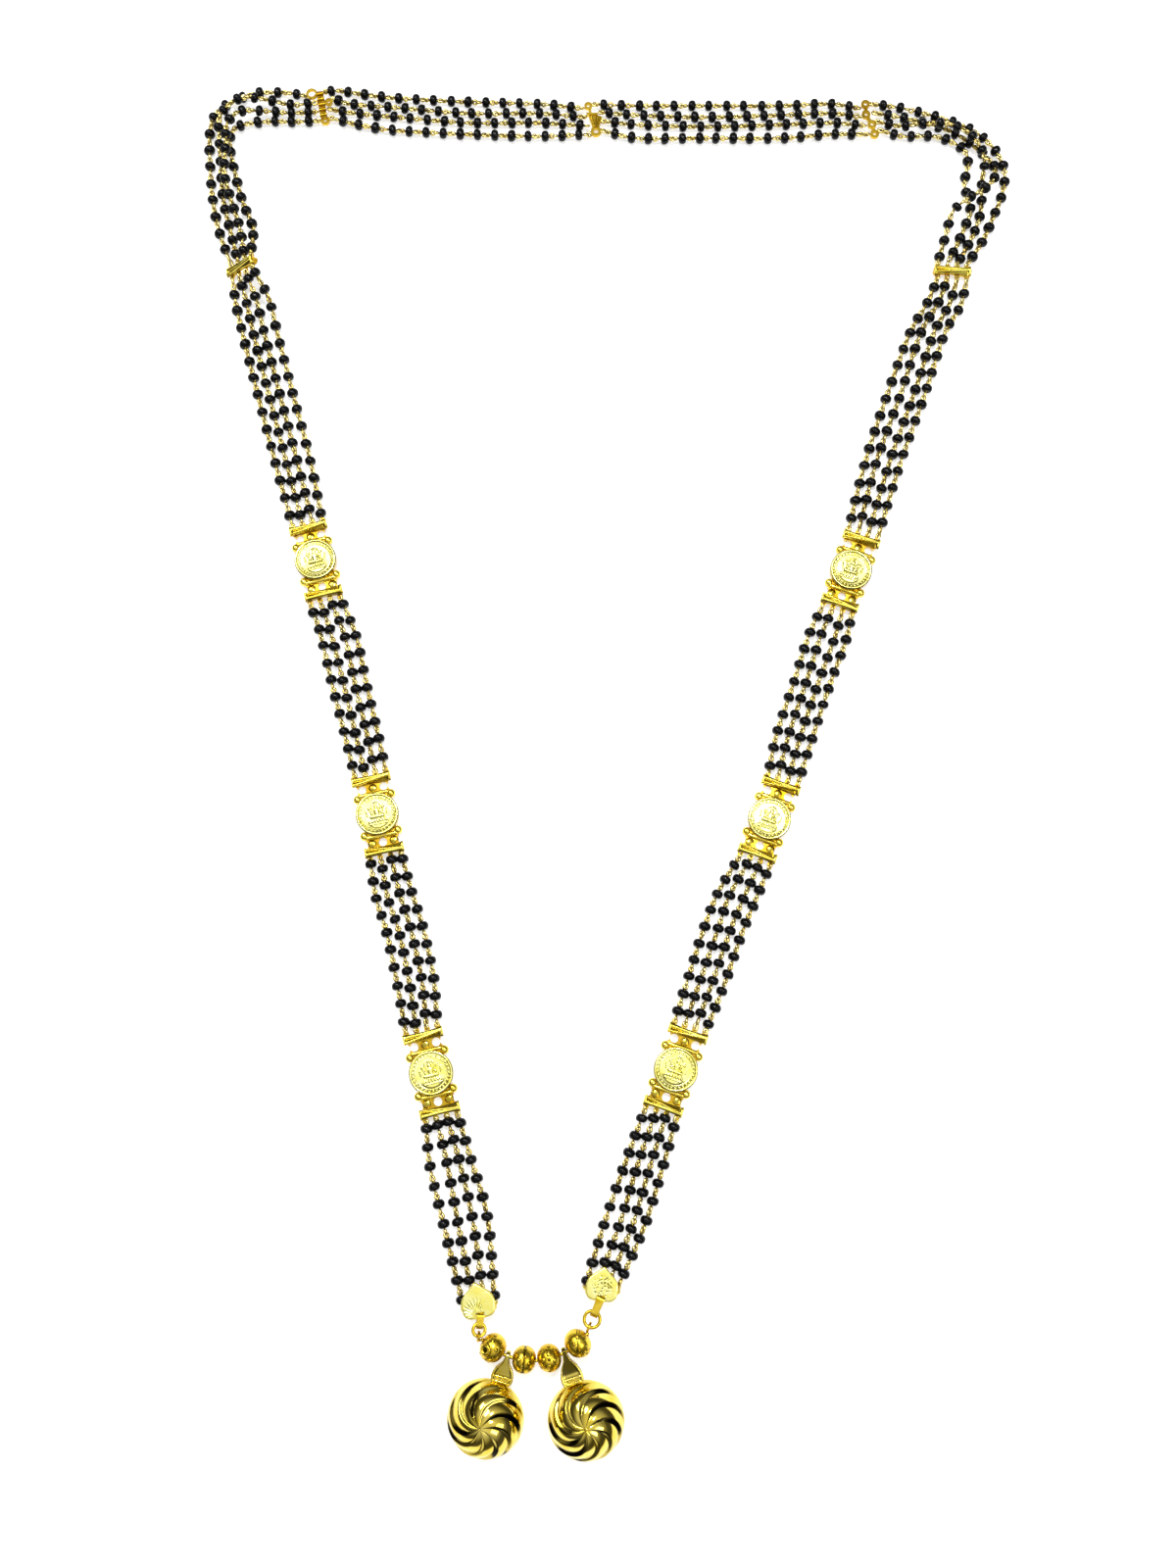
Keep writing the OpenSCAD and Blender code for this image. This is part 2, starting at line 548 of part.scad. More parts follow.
// Plate with fan lines, a slot for its link, and a bar with eyelets under it
module heart(row, s, link_w, link_az) {
    rays = 7;
    slot_w = link_w + 2 * link_gap;
    slot_h = link_strap_t + 2 * link_gap;
    slot_y = link_y(s) + heart_rim / 2;
    color(gold) laid() at_row(row) {
        difference() {
            translate([0, 0, heart_z]) linear_extrude(heart_t) scale([s, s]) heart_outline();
            translate([0, link_y(s), heart_z - 1]) rotate([0, 0, link_az - 90 - row[2]])
                translate([-slot_w / 2, heart_rim / 2, 0]) cube([slot_w, slot_h, heart_t + 2]);
        }
        for (i = [0:rays - 1]) translate([0, slot_y, heart_z + heart_t - 0.05])
            rotate([0, 0, (i - (rays - 1) / 2) * 16]) translate([-0.12, 1.7, 0]) cube([0.24, 1.5, relief_h * 0.6]);
        translate([-heart_bar_len * s / 2, heart_bar_y - heart_bar_w / 2, heart_bar_z])
            cube([heart_bar_len * s, heart_bar_w, heart_bar_top - heart_bar_z]);
        for (t = [-1, 1]) translate([t * 2 - 0.4, heart_bar_y - heart_bar_w / 2, heart_bar_z])
            cube([0.8, heart_bar_w, heart_z + heart_t / 2 - heart_bar_z]);
        eyelet_row(heart_eyelet_y, 1, heart_pitch);
    }
}

// Flattened strap loop through a heart and its jump ring
module heart_link(eye, az, heart_point, r, roll, ring_w, heart_w) {
    from = 2 * r - ring_wire_d / 2 - link_clear;
    to = norm(heart_point - eye) + heart_rim / 2 + link_gap;
    a = [from + link_half_in, 0];
    b = [to - link_half_in, 0];
    color(gold) laid() translate([eye[0], eye[1], wire_z]) rotate([0, 0, az]) rotate([roll, 0, 0]) intersection() {
        rotate([90, 0, 0]) linear_extrude(4, center = true) difference() {
            capsule(a, b, 2 * link_half_h);
            capsule(a, b, 2 * link_half_in);
        }
        translate([0, 0, -link_half_h]) linear_extrude(2 * link_half_h) polygon([
            [from - 1, ring_w / 2], [to + 1, heart_w / 2], [to + 1, -heart_w / 2], [from - 1, -ring_w / 2]]);
    }
}

module jump_ring(eye, az, r, roll) {
    color(gold) laid() translate([eye[0], eye[1], wire_z]) rotate([0, 0, az]) rotate([roll, 0, 0])
        translate([r, 0, 0]) torus(r, ring_wire_d);
}

module rod(a, b, d) {
    translate([a[0], a[1], wire_z]) rotate([0, 90, heading(a, b)]) cylinder(d = d, h = norm(b - a));
}

// Eye across the end of the wire, in the plane of the run towards its heart
module wire_end(angle, eye, az, roll) {
    rod(wire_point(angle), ahead(eye, az, -eye_r), 0.9 * eye_wire_d);
    translate([wire_point(angle)[0], wire_point(angle)[1], wire_z]) sphere(d = wire_d + 0.1);
    translate([eye[0], eye[1], wire_z]) rotate([0, 0, az]) rotate([90 + roll, 0, 0]) ring(eye_d, eye_wire_d, eye_wire_d);
}

module pendant_wire() {
    color(gold) laid() {
        translate([WIRE_MID[0], WIRE_MID[1], wire_z]) rotate([0, 0, left_end])
            rotate_extrude(angle = right_end - left_end) translate([wire_r, 0]) circle(d = wire_d);
        wire_end(left_end, LEFT_EYE, left_az, 12);
        wire_end(right_end, RIGHT_EYE, right_az, 0);
    }
}

// Hollow bead of round section, with rings of metal raised round its middle
module gold_bead(angle, d, turn) {
    r = bead_round * d / 2;
    centre = d / 2 - r;
    hole_r = gold_bead_hole_d / 2;
    bosses = 6;
    boss_d = 0.31 * d;
    color(gold) laid() translate([WIRE_MID[0], WIRE_MID[1], wire_z]) rotate([0, 0, angle])
        translate([wire_r - bead_shift, 0, 0]) rotate([90, 0, 0]) {
            rotate_extrude() difference() {
                translate([centre, 0]) circle(r = r);
                translate([centre, 0]) circle(r = r - gold_bead_wall);
                translate([hole_r - 2 * d, -d]) square([2 * d, 2 * d]);
            }
            for (i = [0:bosses - 1]) rotate([0, 90, turn + i * 360 / bosses])
                translate([0, 0, d / 2 - 0.3]) difference() {
                    cylinder(d = boss_d, h = 0.32);
                    translate([0, 0, -1]) cylinder(d = boss_d / 2, h = 3);
                }
        }
}

// Height of a flute at phase p: a long round rise and a short steep fall
function flute(p) = p < 1 - flute_fall ? sin(90 * p / (1 - flute_fall)) : (1 - p) / flute_fall;
// Flutes fade out at the crown and into the plain band at the mouth
function flute_window(t) = min(1, t / 0.22) * min(1, max(0, (0.88 - t) / 0.22));
// Point j round ring t of the cup, t from the crown at 0 to the mouth at 1
function cup_point(t, j, r, h, lift) =
    let (steps = len(FLUTE_PHASES),
         phase = FLUTE_PHASES[j % steps],
         a = (floor(j / steps) + phase) * 360 / flute_count - flute_sweep * pow(t, flute_bend),
         out = lift * flute_window(t) * (flute(phase) - 0.5))
    [(r + out) * sin(90 * t) * cos(a), (r + out) * sin(90 * t) * sin(a), (h + out) * cos(90 * t)];

// Domed cup, mouth down at z = 0, with swirling flutes outside
module cup() {
    n = flute_count * len(FLUTE_PHASES);
    r = cup_d / 2;
    outer = [for (k = [1:cup_rings], j = [0:n - 1]) cup_point(k / cup_rings, j, r, cup_h, flute_h)];
    inner = [for (k = [1:cup_inner_rings], j = [0:n - 1])
        cup_point(k / cup_inner_rings, j, r - cup_wall, cup_h - cup_wall - flute_h / 2, 0)];
    points = concat(outer, inner, [[0, 0, cup_h], [0, 0, cup_h - cup_wall - flute_h / 2]]);
    base = cup_rings * n;
    crown = len(points) - 2;
    outer_walls = [for (k = [0:cup_rings - 2], j = [0:n - 1])
        let (m = (j + 1) % n) [k * n + j, k * n + m, (k + 1) * n + m, (k + 1) * n + j]];
    inner_walls = [for (k = [0:cup_inner_rings - 2], j = [0:n - 1])
        let (m = (j + 1) % n) [base + k * n + m, base + k * n + j, base + (k + 1) * n + j, base + (k + 1) * n + m]];
    outer_cap = [for (j = [0:n - 1]) [crown, (j + 1) % n, j]];
    inner_cap = [for (j = [0:n - 1]) [crown + 1, base + j, base + (j + 1) % n]];
    lip = [for (j = [0:n - 1])
        let (m = (j + 1) % n, o = (cup_rings - 1) * n, i = base + (cup_inner_rings - 1) * n)
        [o + j, o + m, i + m, i + j]];
    polyhedron(points, concat(outer_walls, inner_walls, outer_cap, inner_cap, lip), convexity = 6);
}

// Folded strap round the wire: a panel of shield shape down to the cup
module bail(at, az, reach) {
    tip = bail_t * 1.1;
    w = bail_w / 2;
    EDGE = [[-bail_ring - 0.1, 0.4], [0.4, 0.48], [0.25 * reach, 0.34 * w], [0.45 * reach, 0.74 * w],
        [0.65 * reach, 0.96 * w], [0.8 * reach, w], [0.92 * reach, 0.94 * w], [reach + 0.1, 0.82 * w]];
    n = len(EDGE);
    translate([at[0], at[1], wire_z]) rotate([0, 0, az]) {
        intersection() {
            rotate([90, 0, 0]) linear_extrude(bail_w + 1, center = true) difference() {
                union() {
                    circle(r = bail_ring);
                    polygon([[0, bail_ring], [reach, tip], [reach, -tip], [0, -bail_ring]]);
                }
                circle(r = wire_hole);
                polygon([[0, wire_hole], [reach - 1.2, 0.05], [reach - 1.2, -0.05], [0, -wire_hole]]);
            }
            translate([0, 0, -2]) linear_extrude(4) polygon(concat(EDGE,
                [for (i = [n - 1:-1:0]) [EDGE[i][0], -EDGE[i][1]]]));
        }
        for (s = [0.35, 1.3]) translate([reach - s, 0, tip - 0.1 + 0.12 * s])
            rotate([90, 0, 0]) cylinder(d = 0.55, h = (s < 1 ? 1.7 : 1.92) * w, center = true);
    }
}

// A cup lies mouth down with its bail side raised, soldered to its bail
module vati(row, angle) {
    tilt = row[2];
    at = wire_point(angle);
    lean = row[4] - heading(at, [row[0], row[1]]);
    away = norm([row[0], row[1]] - at);
    reach = away * cos(lean) - sqrt(pow(cup_d / 2 - cup_wall * 0.7, 2) - pow(away * sin(lean), 2));
    color(gold) laid() {
        translate([row[0], row[1], cup_d / 2 * sin(tilt)]) rotate([0, 0, row[3]]) rotate([0, -tilt, 0])
            rotate([0, 0, row[5] - row[3]]) cup();
        bail(at, row[4], reach);
    }
}

coin_link(LEFT_COINS[0]);  // left_coin_link_1
coin_link(LEFT_COINS[1]);  // left_coin_link_2
coin_link(LEFT_COINS[2]);  // left_coin_link_3
coin_link(RIGHT_COINS[0]);  // right_coin_link_1
coin_link(RIGHT_COINS[1]);  // right_coin_link_2
coin_link(RIGHT_COINS[2]);  // right_coin_link_3
spacer_bar(LEFT_SPACER, left_spacer_roll);  // left_spacer_bar
spacer_bar(RIGHT_SPACER, 0);  // right_spacer_bar
top_spacer_left();
top_spacer_middle();
top_spacer_right();
heart(LEFT_HEART, 1, left_link_w, left_az);  // left_heart
heart(RIGHT_HEART, right_heart_scale, right_link_w, right_az);  // right_heart
heart_link(LEFT_EYE, left_az, left_heart_point, left_ring_r, 8, 1.3, left_link_w);  // left_heart_link
heart_link(RIGHT_EYE, right_az, right_heart_point, right_ring_r, -4, 1.5, right_link_w);  // right_heart_link
jump_ring(LEFT_EYE, left_az, left_ring_r, 18);  // left_jump_ring
jump_ring(RIGHT_EYE, right_az, right_ring_r, -8);  // right_jump_ring
pendant_wire();
gold_bead(BEAD_ANGLES[0], gold_bead_d, 20);  // gold_bead_1
gold_bead(BEAD_ANGLES[1], mid_bead_d, 0);  // gold_bead_2
gold_bead(BEAD_ANGLES[2], mid_bead_d, 30);  // gold_bead_3
gold_bead(BEAD_ANGLES[3], gold_bead_d, 45);  // gold_bead_4
vati(LEFT_CUP, left_bail_angle);  // left_vati
vati(RIGHT_CUP, right_bail_angle);  // right_vati
strings("left_strings_1");  // left_strings_1
strings("left_strings_2");  // left_strings_2
strings("left_strings_3");  // left_strings_3
strings("left_strings_4");  // left_strings_4
strings("left_strings_5");  // left_strings_5
strings("right_strings_1");  // right_strings_1
strings("right_strings_2");  // right_strings_2
strings("right_strings_3");  // right_strings_3
strings("right_strings_4");  // right_strings_4
strings("right_strings_5");  // right_strings_5
strings("top_strings_left");  // top_strings_left
strings("top_strings_right");  // top_strings_right
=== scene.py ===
"""Looks for the long mangalsutra: seed beads on wire loops, coins, hearts, gold beads and cups.

Lengths are in millimetres in the source's own drawing frame until row_frame() turns them into
metres about the middle of the laid out necklace.
"""
import math
import bpy
import numpy as np
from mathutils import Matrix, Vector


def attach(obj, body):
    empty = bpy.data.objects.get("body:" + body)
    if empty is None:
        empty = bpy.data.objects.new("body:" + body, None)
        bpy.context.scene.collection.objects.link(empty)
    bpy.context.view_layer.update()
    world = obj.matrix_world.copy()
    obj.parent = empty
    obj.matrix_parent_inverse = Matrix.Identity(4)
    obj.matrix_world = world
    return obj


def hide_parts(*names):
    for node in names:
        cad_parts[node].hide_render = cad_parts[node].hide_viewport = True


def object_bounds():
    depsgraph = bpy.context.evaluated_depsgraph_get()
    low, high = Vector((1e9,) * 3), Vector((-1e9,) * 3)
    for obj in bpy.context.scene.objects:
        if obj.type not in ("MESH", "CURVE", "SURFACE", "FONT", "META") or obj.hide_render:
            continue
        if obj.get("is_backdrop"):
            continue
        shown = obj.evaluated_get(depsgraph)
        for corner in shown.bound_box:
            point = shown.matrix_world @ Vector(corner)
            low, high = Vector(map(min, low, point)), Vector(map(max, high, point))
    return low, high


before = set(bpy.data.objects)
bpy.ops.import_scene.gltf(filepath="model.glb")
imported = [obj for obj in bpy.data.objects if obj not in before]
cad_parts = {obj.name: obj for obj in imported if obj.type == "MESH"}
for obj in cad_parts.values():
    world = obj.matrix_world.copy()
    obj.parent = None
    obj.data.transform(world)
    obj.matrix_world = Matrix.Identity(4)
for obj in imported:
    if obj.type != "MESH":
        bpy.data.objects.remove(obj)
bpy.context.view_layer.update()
rng = np.random.default_rng(7)

# Where the hardware lies: x, y of its middle and the turn of its run from +Y
MIDDLE = np.array([4.25, 15.45, 0.0])
LEFT_COINS = [(-32.5, -61.4, 14), (-45.1, -7, 12), (-60.3, 50.1, 14.5)]
RIGHT_COINS = [(18.2, -60.7, -19.5), (38.8, -8, -20), (58.1, 47.7, -19.5)]
LEFT_HEART = (-22.15, -106.35, 11)
RIGHT_HEART = (2.9, -103.2, -8)
LEFT_SPACER = (-79.45, 120.4, 8.5)
RIGHT_SPACER = (84.05, 120.2, -4.5)
TOP_LEFT = (-62.8, 162.9, -79.5)
TOP_MIDDLE = (0.95, 159.4, -75.5)
TOP_RIGHT = (66.3, 159.45, -75.5)
# How far the left spacer is rolled about its run
LEFT_ROLL = 35
# x, y of each cup's middle, its tilt, the side that is up, its bail's run and its flutes' turn
LEFT_CUP = (-20.35, -128.8, 10, 45, -105, 85)
RIGHT_CUP = (-0.4, -129.3, 5.5, 85, -71.8, 75)

# Strands: their pitch in a row of eyelets, and how far their ends lie from the row's middle
STRAND_PITCH = 2.25
HEART_PITCH = 2.15
TOP_PITCH = 2.4
STRAND_Z = 1.2
LINK_REACH = 9.85
SPACER_REACH = 2.1
HEART_REACH = -0.32
TOP_REACH = 1.9
# Reaches of the four strands at the sides of the top spacers, and their order at a corner
LEFT_SIDE = (TOP_REACH + 2.08, TOP_REACH, TOP_REACH, TOP_REACH)
RIGHT_SIDE = (TOP_REACH, TOP_REACH + 1.3, TOP_REACH, TOP_REACH)
MIDDLE_SIDE = (TOP_REACH, TOP_REACH + 0.9, TOP_REACH + 0.9, TOP_REACH)
CORNER_ORDER = (3, 0, 2, 1)
# How far a strand's line is continued past its ends
OVERRUN = 3.0

# Seed beads and the wire loops between them
BEAD_D = 2.6
BEAD_LEN = 1.85
BEAD_HOLE_R = 0.3
EYE_W = 1.4
EYE_WIRE_R = 0.32
PIN_R = 0.2
# How far linked eyes reach past the middle between them, how far the end eyes reach past the
# strand, and the length that a pair of eyes needs
EYE_CATCH = 0.3
END_CATCH = 1.05
PAIR_ROOM = 1.7
# How far beads shift along their strand, how much they lean and how unlike in size they are
BEAD_SHIFT = 0.14
BEAD_LEAN = 0.13
BEAD_SIZES = (0.95, 1.04)
LOOP_ROLL = 28

# Pendant wire and what hangs on it
WIRE_Z = 3.1
WIRE_MID = np.array([-11.1, -103.2])
WIRE_R = 14.5
BEAD_ANGLES = (236.9, 263.5, 283.5, 309)
GOLD_BEAD_D = (5.8, 5.5, 5.5, 5.8)
# A gold bead's section circle as a share of its radius, its hole's mouth and wall, and the
# radius at which lengths on its face are measured
GOLD_SECTION = 0.845
GOLD_MOUTH_R = 0.65
GOLD_BORE_R = 0.6
GOLD_FACE_R = 2.8
UP = (0, 0, 1)
RING_SIDE = (0.27, -0.42, 0.86)
CUP_D = 15.5
CUP_H = 6.4
CUP_WALL = 0.45
CUP_CROWN = 1.0
FLUTES = 9
FLUTE_SWEEP = 95
FLUTE_BEND = 1.7
FLUTE_RISE = 0.28
FLUTE_H = 0.4
# Painted shade and painted reflection: the cups' clefts are darkened in colour
# How dark every cleft is, then where round each cup they are darkest, with the spread in degrees
CLEFT_DARK = 0.36
LEFT_DARK = ((114, 24), (18, 32), (-62, 12), (196, 18))
RIGHT_DARK = ((52, 30), (4, 20), (-118, 28), (-170, 16))
BAIL_W = 4.5
BAIL_T = 0.45

# Coins and hearts
COIN_R = 4.6
COIN_TOP = 2.62
COIN_RIM_R = 4.28
COIN_DOTS_R = 3.72
COIN_FIELD_R = 3.3
# How much darker each coin's face is, overall and as painted shade on its steep slopes
LEFT_DARKENING = (0.05, 0.2, 0.5)
RIGHT_DARKENING = (0.1, 0.2, 0.5)
HEART_TOP = WIRE_Z + 0.33

# What lies round a coin, with places across the link, along it and up
STRAP_LENGTH = 8.5
STRAP_Y = 7.85
STRAP_TOP = 2.05
STRAP_BASE = 0.3
BAR_R = 0.52
BAR_HALF = 3.9
BAR_Y = 4.62
BAR_Z = 1.5
NUB_R = 0.95
NUB_X = 3.65
NUB_Y = 4.05
NUB_Z = 1.3
CELL_R = 1.0
CELL_Y = 6.0
CELL_Z = 0.7
WEB_PITCH = 2.35

# Routes of the strands between their eyelets, points chosen: x, y and, raised, z
ROUTES = {
    "left_strings_1": [
        [(-29.5, -91.5), (-32.5, -80)],
        [(-26.5, -91.5), (-29, -79.5)],
        [(-23.5, -91), (-26.5, -79)],
        [(-20.5, -90.5), (-24, -79)]],
    "left_strings_2": [
        [(-40, -43.5), (-42.5, -32.5), (-45, -25)],
        [(-37.5, -43), (-40, -32), (-42.5, -25)],
        [(-35, -42), (-37.5, -31.5), (-40, -24)],
        [(-32.5, -41.5), (-35, -31), (-37.5, -23.5)]],
    "left_strings_3": [
        [(-53, 11.5), (-56, 22.5), (-59, 34)],
        [(-50.5, 11), (-53.5, 22.5), (-56.5, 33.5)],
        [(-48, 11), (-51, 22.5), (-53.5, 33)],
        [(-45.5, 10.5), (-48.5, 22.5), (-51, 33)]],
    "left_strings_4": [
        [(-70.5, 74), (-75, 90), (-79, 104.5), (-81, 112.5)],
        [(-68, 74), (-72.5, 90), (-76.5, 104.5), (-78.5, 112.5)],
        [(-65.5, 74), (-70, 90), (-74, 104.5), (-76, 112.5, 2)],
        [(-62.5, 74), (-67, 90), (-71, 104.5), (-73, 112.5, 3)]],
    "left_strings_5": [
        [(-85.5, 130), (-87.5, 138.5), (-88.5, 147), (-89, 155.5), (-88, 160.5),
         (-85, 163.5), (-81, 165.5), (-77, 166.5), (-71, 166.4)],
        [(-83, 130.5), (-85, 138.5), (-86, 147), (-86.5, 154, 2), (-86.5, 158.5, 2.8),
         (-84.5, 161.5, 3.4), (-81.5, 163.5, 3.4), (-77, 164, 2.5), (-70, 163.2, 1.3)],
        [(-80.5, 130.5, 3), (-83, 138, 3), (-84.5, 144, 3.5), (-84.5, 151, 3.6),
         (-84.5, 156, 3.6), (-83, 159, 3.6), (-80.5, 160.5, 3), (-75, 161.3, 1.5), (-70, 161.1)],
        [(-77.5, 130.5, 2.5), (-80.5, 138), (-82.5, 145), (-84, 151.5), (-84, 155.5),
         (-82.5, 157.5), (-79, 158.5), (-74, 158.9), (-69, 158.8)]],
    "top_strings_left": [
        [(-59, 167), (-53, 166), (-45, 165), (-28, 164), (-12, 163.5)],
        [(-55.5, 163.4), (-45, 162.5), (-28, 161), (-12, 161)],
        [(-55.5, 161.1), (-45, 160), (-28, 158.5), (-12, 158.5)],
        [(-54, 158), (-45, 156.5), (-28, 155.5), (-12, 155)]],
    "top_strings_right": [
        [(12, 163), (28, 163), (45, 163), (57, 163.5)],
        [(12, 160.5), (28, 160), (45, 160.5), (57, 161)],
        [(12, 158), (28, 157.5), (45, 158), (57, 158.5)],
        [(12, 154.5), (28, 154.5), (45, 154.5), (57, 155.5)]],
    "right_strings_5": [
        [(73.5, 162.5), (81, 160.5), (86.5, 158.5), (90.5, 156.5), (94, 153.5),
         (96.5, 149.5), (97.5, 145), (96.5, 139.5), (94, 133.5), (91.5, 128)],
        [(73.5, 160), (81, 158), (86, 156), (90, 153), (93, 150), (95, 147, 1.5),
         (94.5, 143, 3), (91.5, 139.5, 3.8), (87.5, 137, 3.8), (84.5, 134.5, 2.5), (83, 129.5)],
        [(73.5, 157.5, 1.5), (79, 157, 3.2), (84.5, 156.5, 3.6), (88.5, 154.5, 3.6),
         (91, 151.5, 3.6), (92.5, 147.5, 3), (92, 143, 1.5), (91.5, 136), (90, 131), (87.8, 126.5)],
        [(74, 155), (81, 155), (85.5, 153.5), (88.5, 151), (89, 147.5), (88, 143),
         (88.5, 139), (89, 135.5), (87.5, 131.5), (85.5, 127)]],
    "right_strings_4": [
        [(62.5, 74), (68, 90), (73.5, 104.5), (78, 112.5)],
        [(65, 74), (71, 90), (76, 104.5), (80.5, 112.5)],
        [(68, 74), (74, 90), (79, 104.5), (83, 112)],
        [(70.5, 74), (76.5, 90), (81.5, 104.5), (85.5, 111.5)]],
    "right_strings_3": [
        [(41, 11), (45, 22.5), (48.5, 33)],
        [(43.5, 10.5), (47.5, 22), (51, 32.5)],
        [(46, 10), (50, 21.5), (54, 32)],
        [(48.5, 9.5), (52.5, 21), (56.5, 31.5)]],
    "right_strings_2": [
        [(21, -42), (24.5, -31.5), (27.5, -24)],
        [(23.5, -42.5), (27.5, -31.5), (30, -24.5)],
        [(26, -43), (30, -32), (33, -25)],
        [(28.5, -43.5), (32.5, -32.5), (35.5, -25.5)]],
    "right_strings_1": [
        [(3.5, -91), (7.5, -80)],
        [(6.5, -91.5), (10, -80.5)],
        [(9, -92), (12.5, -81)],
        [(11.5, -92), (15, -81.5)]],
}
# Seed beads on each strand, as seen: how far the first lies from the strand's start, the
# distance from bead to bead, and how many there are
SEED_BEADS = {
    "left_strings_1": [(0.85, 3.86, 10), (0.4, 3.93, 10), (1.0, 3.9, 10), (0.55, 3.9, 10)],
    "left_strings_2": [(1.9, 3.8, 10), (0.9, 3.73, 10), (2.5, 3.7, 10), (1.65, 3.77, 10)],
    "left_strings_3": [(1.85, 3.98, 10), (0.95, 4.03, 10), (2.25, 4.05, 10), (2.6, 3.97, 10)],
    "left_strings_4": [(2.2, 4.28, 14), (1.75, 4.1, 15), (2.4, 4.1, 15), (1.0, 4.25, 15)],
    "left_strings_5": [(4.1, 4.33, 14), (1.8, 4.16, 15), (1.5, 3.85, 15), (1.6, 4.0, 14)],
    "top_strings_left": [(0.8, 4.08, 15), (1.0, 3.98, 15), (3.0, 4.0, 15), (2.6, 4.0, 15)],
    "top_strings_right": [(1.9, 4.13, 15), (1.65, 4.05, 15), (2.3, 4.05, 15), (2.7, 4.0, 15)],
    "right_strings_5": [(2.4, 4.2, 15), (2.8, 4.15, 15), (2.4, 4.05, 14), (3.0, 4.1, 12)],
    "right_strings_4": [(2.1, 4.29, 15), (3.3, 4.28, 15), (2.8, 4.2, 15), (3.6, 4.24, 15)],
    "right_strings_3": [(1.5, 3.92, 10), (2.4, 3.86, 10), (1.8, 3.84, 10), (2.35, 3.95, 10)],
    "right_strings_2": [(1.85, 3.7, 10), (1.9, 3.79, 10), (2.9, 3.69, 10), (1.15, 3.81, 10)],
    "right_strings_1": [(0.3, 3.8, 10), (0.7, 3.78, 10), (0.4, 3.86, 10), (2.8, 3.86, 9)],
}


def row_frame(points):
    """Drawing millimetres to metres about the middle of the laid out necklace."""
    return (np.asarray(points, float) - MIDDLE) * 0.001


def grid_faces(rows, columns, close_rows=False, close_columns=False):
    """Quads of a grid of points stored row after row, joined round where asked."""
    i = np.arange(rows if close_rows else rows - 1)[:, None]
    j = np.arange(columns if close_columns else columns - 1)[None, :]
    next_i = (i + 1) % rows
    next_j = (j + 1) % columns
    corners = [i * columns + j, i * columns + next_j,
               next_i * columns + next_j, next_i * columns + j]
    return np.stack([c + 0 * (i + j) for c in corners], -1).reshape(-1, 4)


def capped_faces(rows, columns):
    """Faces of a grid joined round each row, with one flat face over each end."""
    first = np.arange(columns)[None]
    return [grid_faces(rows, columns, False, True), first[:, ::-1], first + (rows - 1) * columns]


def polar_grid(top, crown, base):
    """A plate from rings of top points: closed by fans at its middle, at height crown, and
    underneath, with its edge going straight down to height base."""
    rings, n = top.shape[0] + 1, top.shape[1]
    rim = top[-1] * np.array([1, 1, 0]) + np.array([0, 0, base])
    points = np.vstack([top.reshape(-1, 3), rim, [[0, 0, crown], [0, 0, base]]])
    j = np.arange(n)
    centre, last = rings * n, (rings - 1) * n
    fans = [np.stack([np.full(n, centre), (j + 1) % n, j], -1),
            np.stack([np.full(n, centre + 1), last + j, last + (j + 1) % n], -1)]
    return points, outward(points, [grid_faces(rings, n, False, True)] + fans)


def signed_volume(points, faces):
    """Six times the volume inside a closed mesh, positive when its faces point outwards."""
    total = 0.0
    for face in faces:
        corners = points[face]
        for k in range(1, corners.shape[1] - 1):
            spread = np.cross(corners[:, k], corners[:, k + 1])
            total += np.einsum("ij,ij->i", corners[:, 0], spread).sum()
    return total


def outward(points, faces):
    """Faces turned so that a closed mesh points outwards; faces is a list of index arrays."""
    if signed_volume(points, faces) < 0:
        return [f[:, ::-1] for f in faces]
    return faces


def join(parts):
    """One mesh from several (points, faces, shade) parts; shade is one number a point."""
    points, faces, shades, start = [], [], [], 0
    for part_points, part_faces, shade in parts:
        points.append(part_points)
        faces.extend([f + start for f in part_faces])
        shades.append(np.broadcast_to(np.asarray(shade, float), (len(part_points),)))
        start += len(part_points)
    return np.vstack(points), faces, np.concatenate(shades)


def make_piece(name, parts, material, nodes=()):
    """A smooth-shaded piece from (points, faces, shade) parts, riding on the row's body."""
    points, faces, shade = join(parts)
    mesh = bpy.data.meshes.new(name)
    corners = [face for group in faces for face in group.tolist()]
    mesh.from_pydata(row_frame(points).tolist(), [], corners)
    mesh.polygons.foreach_set("use_smooth", np.ones(len(mesh.polygons), bool))
    layer = mesh.attributes.new("shade", "FLOAT", "POINT")
    layer.data.foreach_set("value", shade.astype(np.float32))
    mesh.materials.append(material)
    mesh.update()
    piece = bpy.data.objects.new(name, mesh)
    bpy.context.scene.collection.objects.link(piece)
    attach(piece, "root")
    if nodes:
        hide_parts(*nodes)


def placed_at(points, row):
    """Points turned by a row's turn and moved to its x, y."""
    return turned(points, row[2]) + np.array([row[0], row[1], 0])


def copies(unit, faces, centres, axes):
    """Copies of a unit shape: each point is centre + x along + y across + z up."""
    points = centres[:, None, :] + np.einsum("vk,nkj->nvj", unit, axes)
    starts = (np.arange(len(centres)) * len(unit))[:, None, None]
    return points.reshape(-1, 3), [(f[None] + starts).reshape(-1, f.shape[1]) for f in faces]


def turned(points, degrees, axis="z"):
    """Points turned about the y or z axis by the right-hand rule."""
    c, s = math.cos(math.radians(degrees)), math.sin(math.radians(degrees))
    turns = {"y": [[c, 0, s], [0, 1, 0], [-s, 0, c]],
             "z": [[c, -s, 0], [s, c, 0], [0, 0, 1]]}
    return points @ np.array(turns[axis]).T


# Materials

def new_material(name):
    """An empty node material: its nodes, its links and its shader."""
    material = bpy.data.materials.new(name)
    material.use_nodes = True
    nodes, links = material.node_tree.nodes, material.node_tree.links
    return material, nodes, links, nodes["Principled BSDF"]


